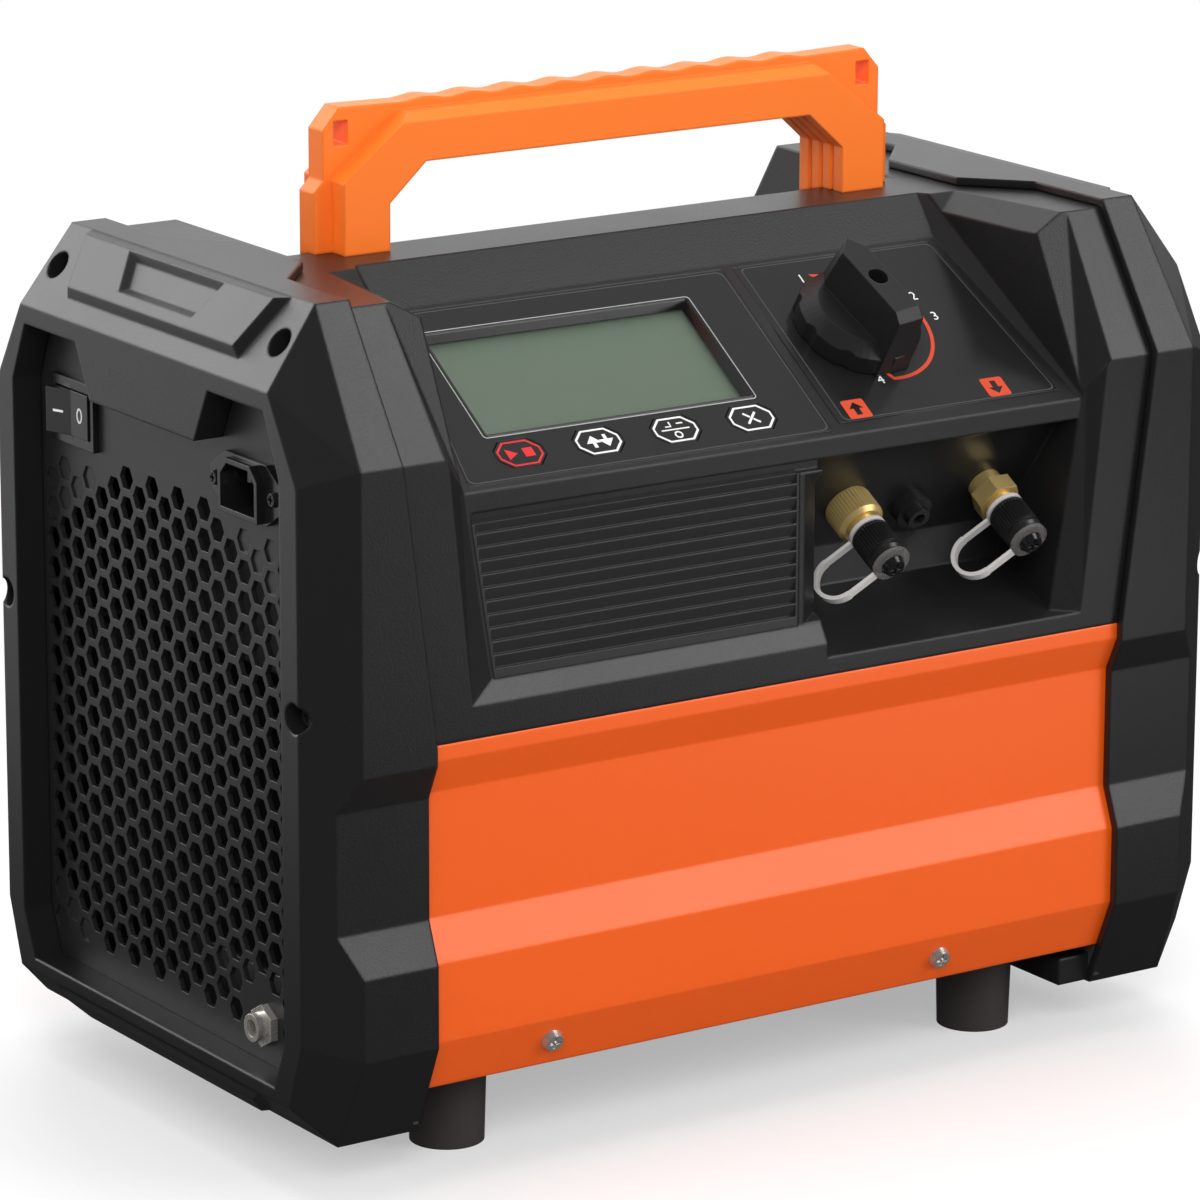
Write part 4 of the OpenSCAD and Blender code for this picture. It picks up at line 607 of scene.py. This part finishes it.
# service caps and the inlet's collar, knurled along their length
knurlSet = {"tilt": 30.0, "wall": (0, -101.2, 241.0), "drop": 26.5, "inletX": 47.5, "outletX": 111.0,
            "capLow": 16.2, "capHigh": 31.2, "capR": 7.6, "ribs": 38, "ribDeep": 0.6,
            "boreR": 5.55, "boreDeep": 8.9, "screwR": 2.45, "screwDeep": 3.9, "pointR": 0.4,
            # the cap's outside from each end: distance from that end, how far in from its radius, share of the rib
            "capFoot": [(0, 0.6, 0), (0.6, 0.1, 0), (1.2, 0, 0.2), (1.6, 0, 1)],
            "capHead": [(4.4, 0, 1), (4.0, 0.1, 0), (3.6, 0.7, 0), (3.2, 0.7, 0), (2.8, 0.1, 0), (1.9, 0.1, 0),
                        (0.7, 0.9, 0), (0, 1.9, 0)],
            "collarR": 9.2, "collarBore": 5.6, "collarRibs": 44, "collarRibDeep": 0.7,
            "collar": [(0.02, -0.2, 0), (0.6, 0.25, 0.5), (9.8, 0.25, 1), (10.4, 0.1, 0), (11.9, -1.4, 0)],
            "clearFrom": 25.0, "clearR": 8.4}
ribWave = (0, 0.5, 1, 0.5)
fitTilt = math.radians(knurlSet["tilt"])
fitOut = Vector((0, -math.cos(fitTilt), -math.sin(fitTilt)))
fitDown = Vector((0, math.sin(fitTilt), -math.cos(fitTilt)))


def onFitting(x, r, a, along):
    base = Vector(knurlSet["wall"]) + fitDown * knurlSet["drop"] + Vector((x, 0, 0))
    return (base + fitOut * along + Vector((1, 0, 0)) * r * math.cos(a) - fitDown * r * math.sin(a)) * mm


def knurledTurn(name, x, profile, ribs, deep, mat, body):
    bm = bmesh.new()
    n = ribs * len(ribWave)
    rings = []
    for along, r, cut in profile:
        ring = []
        for i in range(n):
            dip = deep * cut * ribWave[i % len(ribWave)]
            ring.append(bm.verts.new(onFitting(x, r - dip, 2 * math.pi * i / n, along)))
        rings.append(ring)
    for r0, r1 in zip(rings, rings[1:]):
        for i in range(n):
            j = (i + 1) % n
            bm.faces.new((r0[i], r0[j], r1[j], r1[i]))
    bm.faces.new(rings[0][::-1])
    bm.faces.new(rings[-1])
    return addPiece(name, bm, mat, body)


def serviceCaps(s):
    lo, hi, r = s["capLow"], s["capHigh"], s["capR"]
    floor, socket = lo + s["boreDeep"], hi - s["screwDeep"]
    profile = [(floor, s["pointR"], 0), (floor, s["boreR"], 0), (lo, s["boreR"], 0)]
    profile += [(lo + up, r - inset, cut) for up, inset, cut in s["capFoot"]]
    profile += [(hi - down, r - inset, cut) for down, inset, cut in s["capHead"]]
    profile += [(hi, s["screwR"], 0), (socket, s["screwR"], 0), (socket, s["pointR"], 0)]
    for name, node, x, body in (("inletCapTurned", "inlet_cap", s["inletX"], "inlet_sealing_cap"),
                                ("outletCapTurned", "outlet_cap", s["outletX"], "outlet_sealing_cap")):
        cap = knurledTurn(name, x, profile, s["ribs"], s["ribDeep"], finish["capPlastic"], body)
        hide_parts(node)


serviceCaps(knurlSet)


def knurledCollar(s):
    edge = [(along, s["collarR"] + more, cut) for along, more, cut in s["collar"]]
    profile = [(edge[0][0], s["collarBore"], 0)] + edge + [(edge[-1][0], s["collarBore"], 0)]
    knurledTurn("inletCollarKnurl", s["inletX"], profile, s["collarRibs"], s["collarRibDeep"],
                finish["turnedBrass"], "case")


knurledCollar(knurlSet)


# the straps' front loops are thin and nearly clear over the black caps
def clearLoops(s):
    for node, x in (("inlet_strap", s["inletX"]), ("outlet_strap", s["outletX"])):
        mesh = cadNodes[node].data
        mesh.materials.append(finish["clearNylon"])
        base = onFitting(x, 0, 0, 0)
        for p in mesh.polygons:
            way = p.center - base
            along = way.dot(fitOut)
            if along > s["clearFrom"] * mm and (way - fitOut * along).length < s["clearR"] * mm:
                p.material_index = 1


clearLoops(knurlSet)
print("fittings knurled")

# dark strips of painted shade between the end caps' floors and the base, which keep daylight out of the grilles
shadeStripSet = {"inner": 153.2, "outer": 155.6, "half": 108.2, "low": 21.3, "high": 34.8}


def plainPlace(x, y, z):
    return Vector((x, y, z)) * mm


def shadeStrips(s):
    for name, side in (("leftShadeStrip", -1), ("rightShadeStrip", 1)):
        bm = bmesh.new()
        a, b, h = s["inner"] * side, s["outer"] * side, s["half"]
        printShape(bm, [(a, -h), (b, -h), (b, h), (a, h)], plainPlace, s["low"], s["high"])
        addPiece(name, bm, finish["footRubber"], "case")


shadeStrips(shadeStripSet)
print("shade strips laid")

# signs on the rocker, printed on its two sloping faces, which rise from the middle and tilt about the pin
rockerSet = {"pivot": (-190.0, 68.0, 253.0), "tilt": 10.0, "reach": 12.0, "middle": 2.2, "rise": 2.0,
             "signs": 6.2, "bar": (2.4, 0.45), "ring": (2.0, 2.9), "ringLine": 0.75, "step": 15}


def onRocker(y, z, out):
    s = rockerSet
    lift = s["middle"] + s["rise"] * abs(y) / s["reach"] + out
    a = math.radians(s["tilt"])
    across = y * math.cos(a) - lift * math.sin(a)
    outward = y * math.sin(a) + lift * math.cos(a)
    px, py, pz = s["pivot"]
    return Vector((px - outward, py + across, pz + z)) * mm


def rockerSigns(s):
    bm = bmesh.new()
    mid = s["signs"]
    w, h = s["bar"]
    printShape(bm, [(mid - w, -h), (mid + w, -h), (mid + w, h), (mid - w, h)], onRocker, filmLow, filmHigh)
    rings = []
    for inset in (0, s["ringLine"]):
        rw, rh = [half - inset for half in s["ring"]]
        turns = [math.radians(a) for a in range(0, 360, s["step"])]
        rings.append([(-mid + rw * math.cos(a), rh * math.sin(a)) for a in turns])
    printRing(bm, *rings, onRocker, filmLow, filmHigh)
    addPiece("rockerSigns", bm, finish["whiteInk"], "rocker")


rockerSigns(rockerSet)
print("rocker marked")
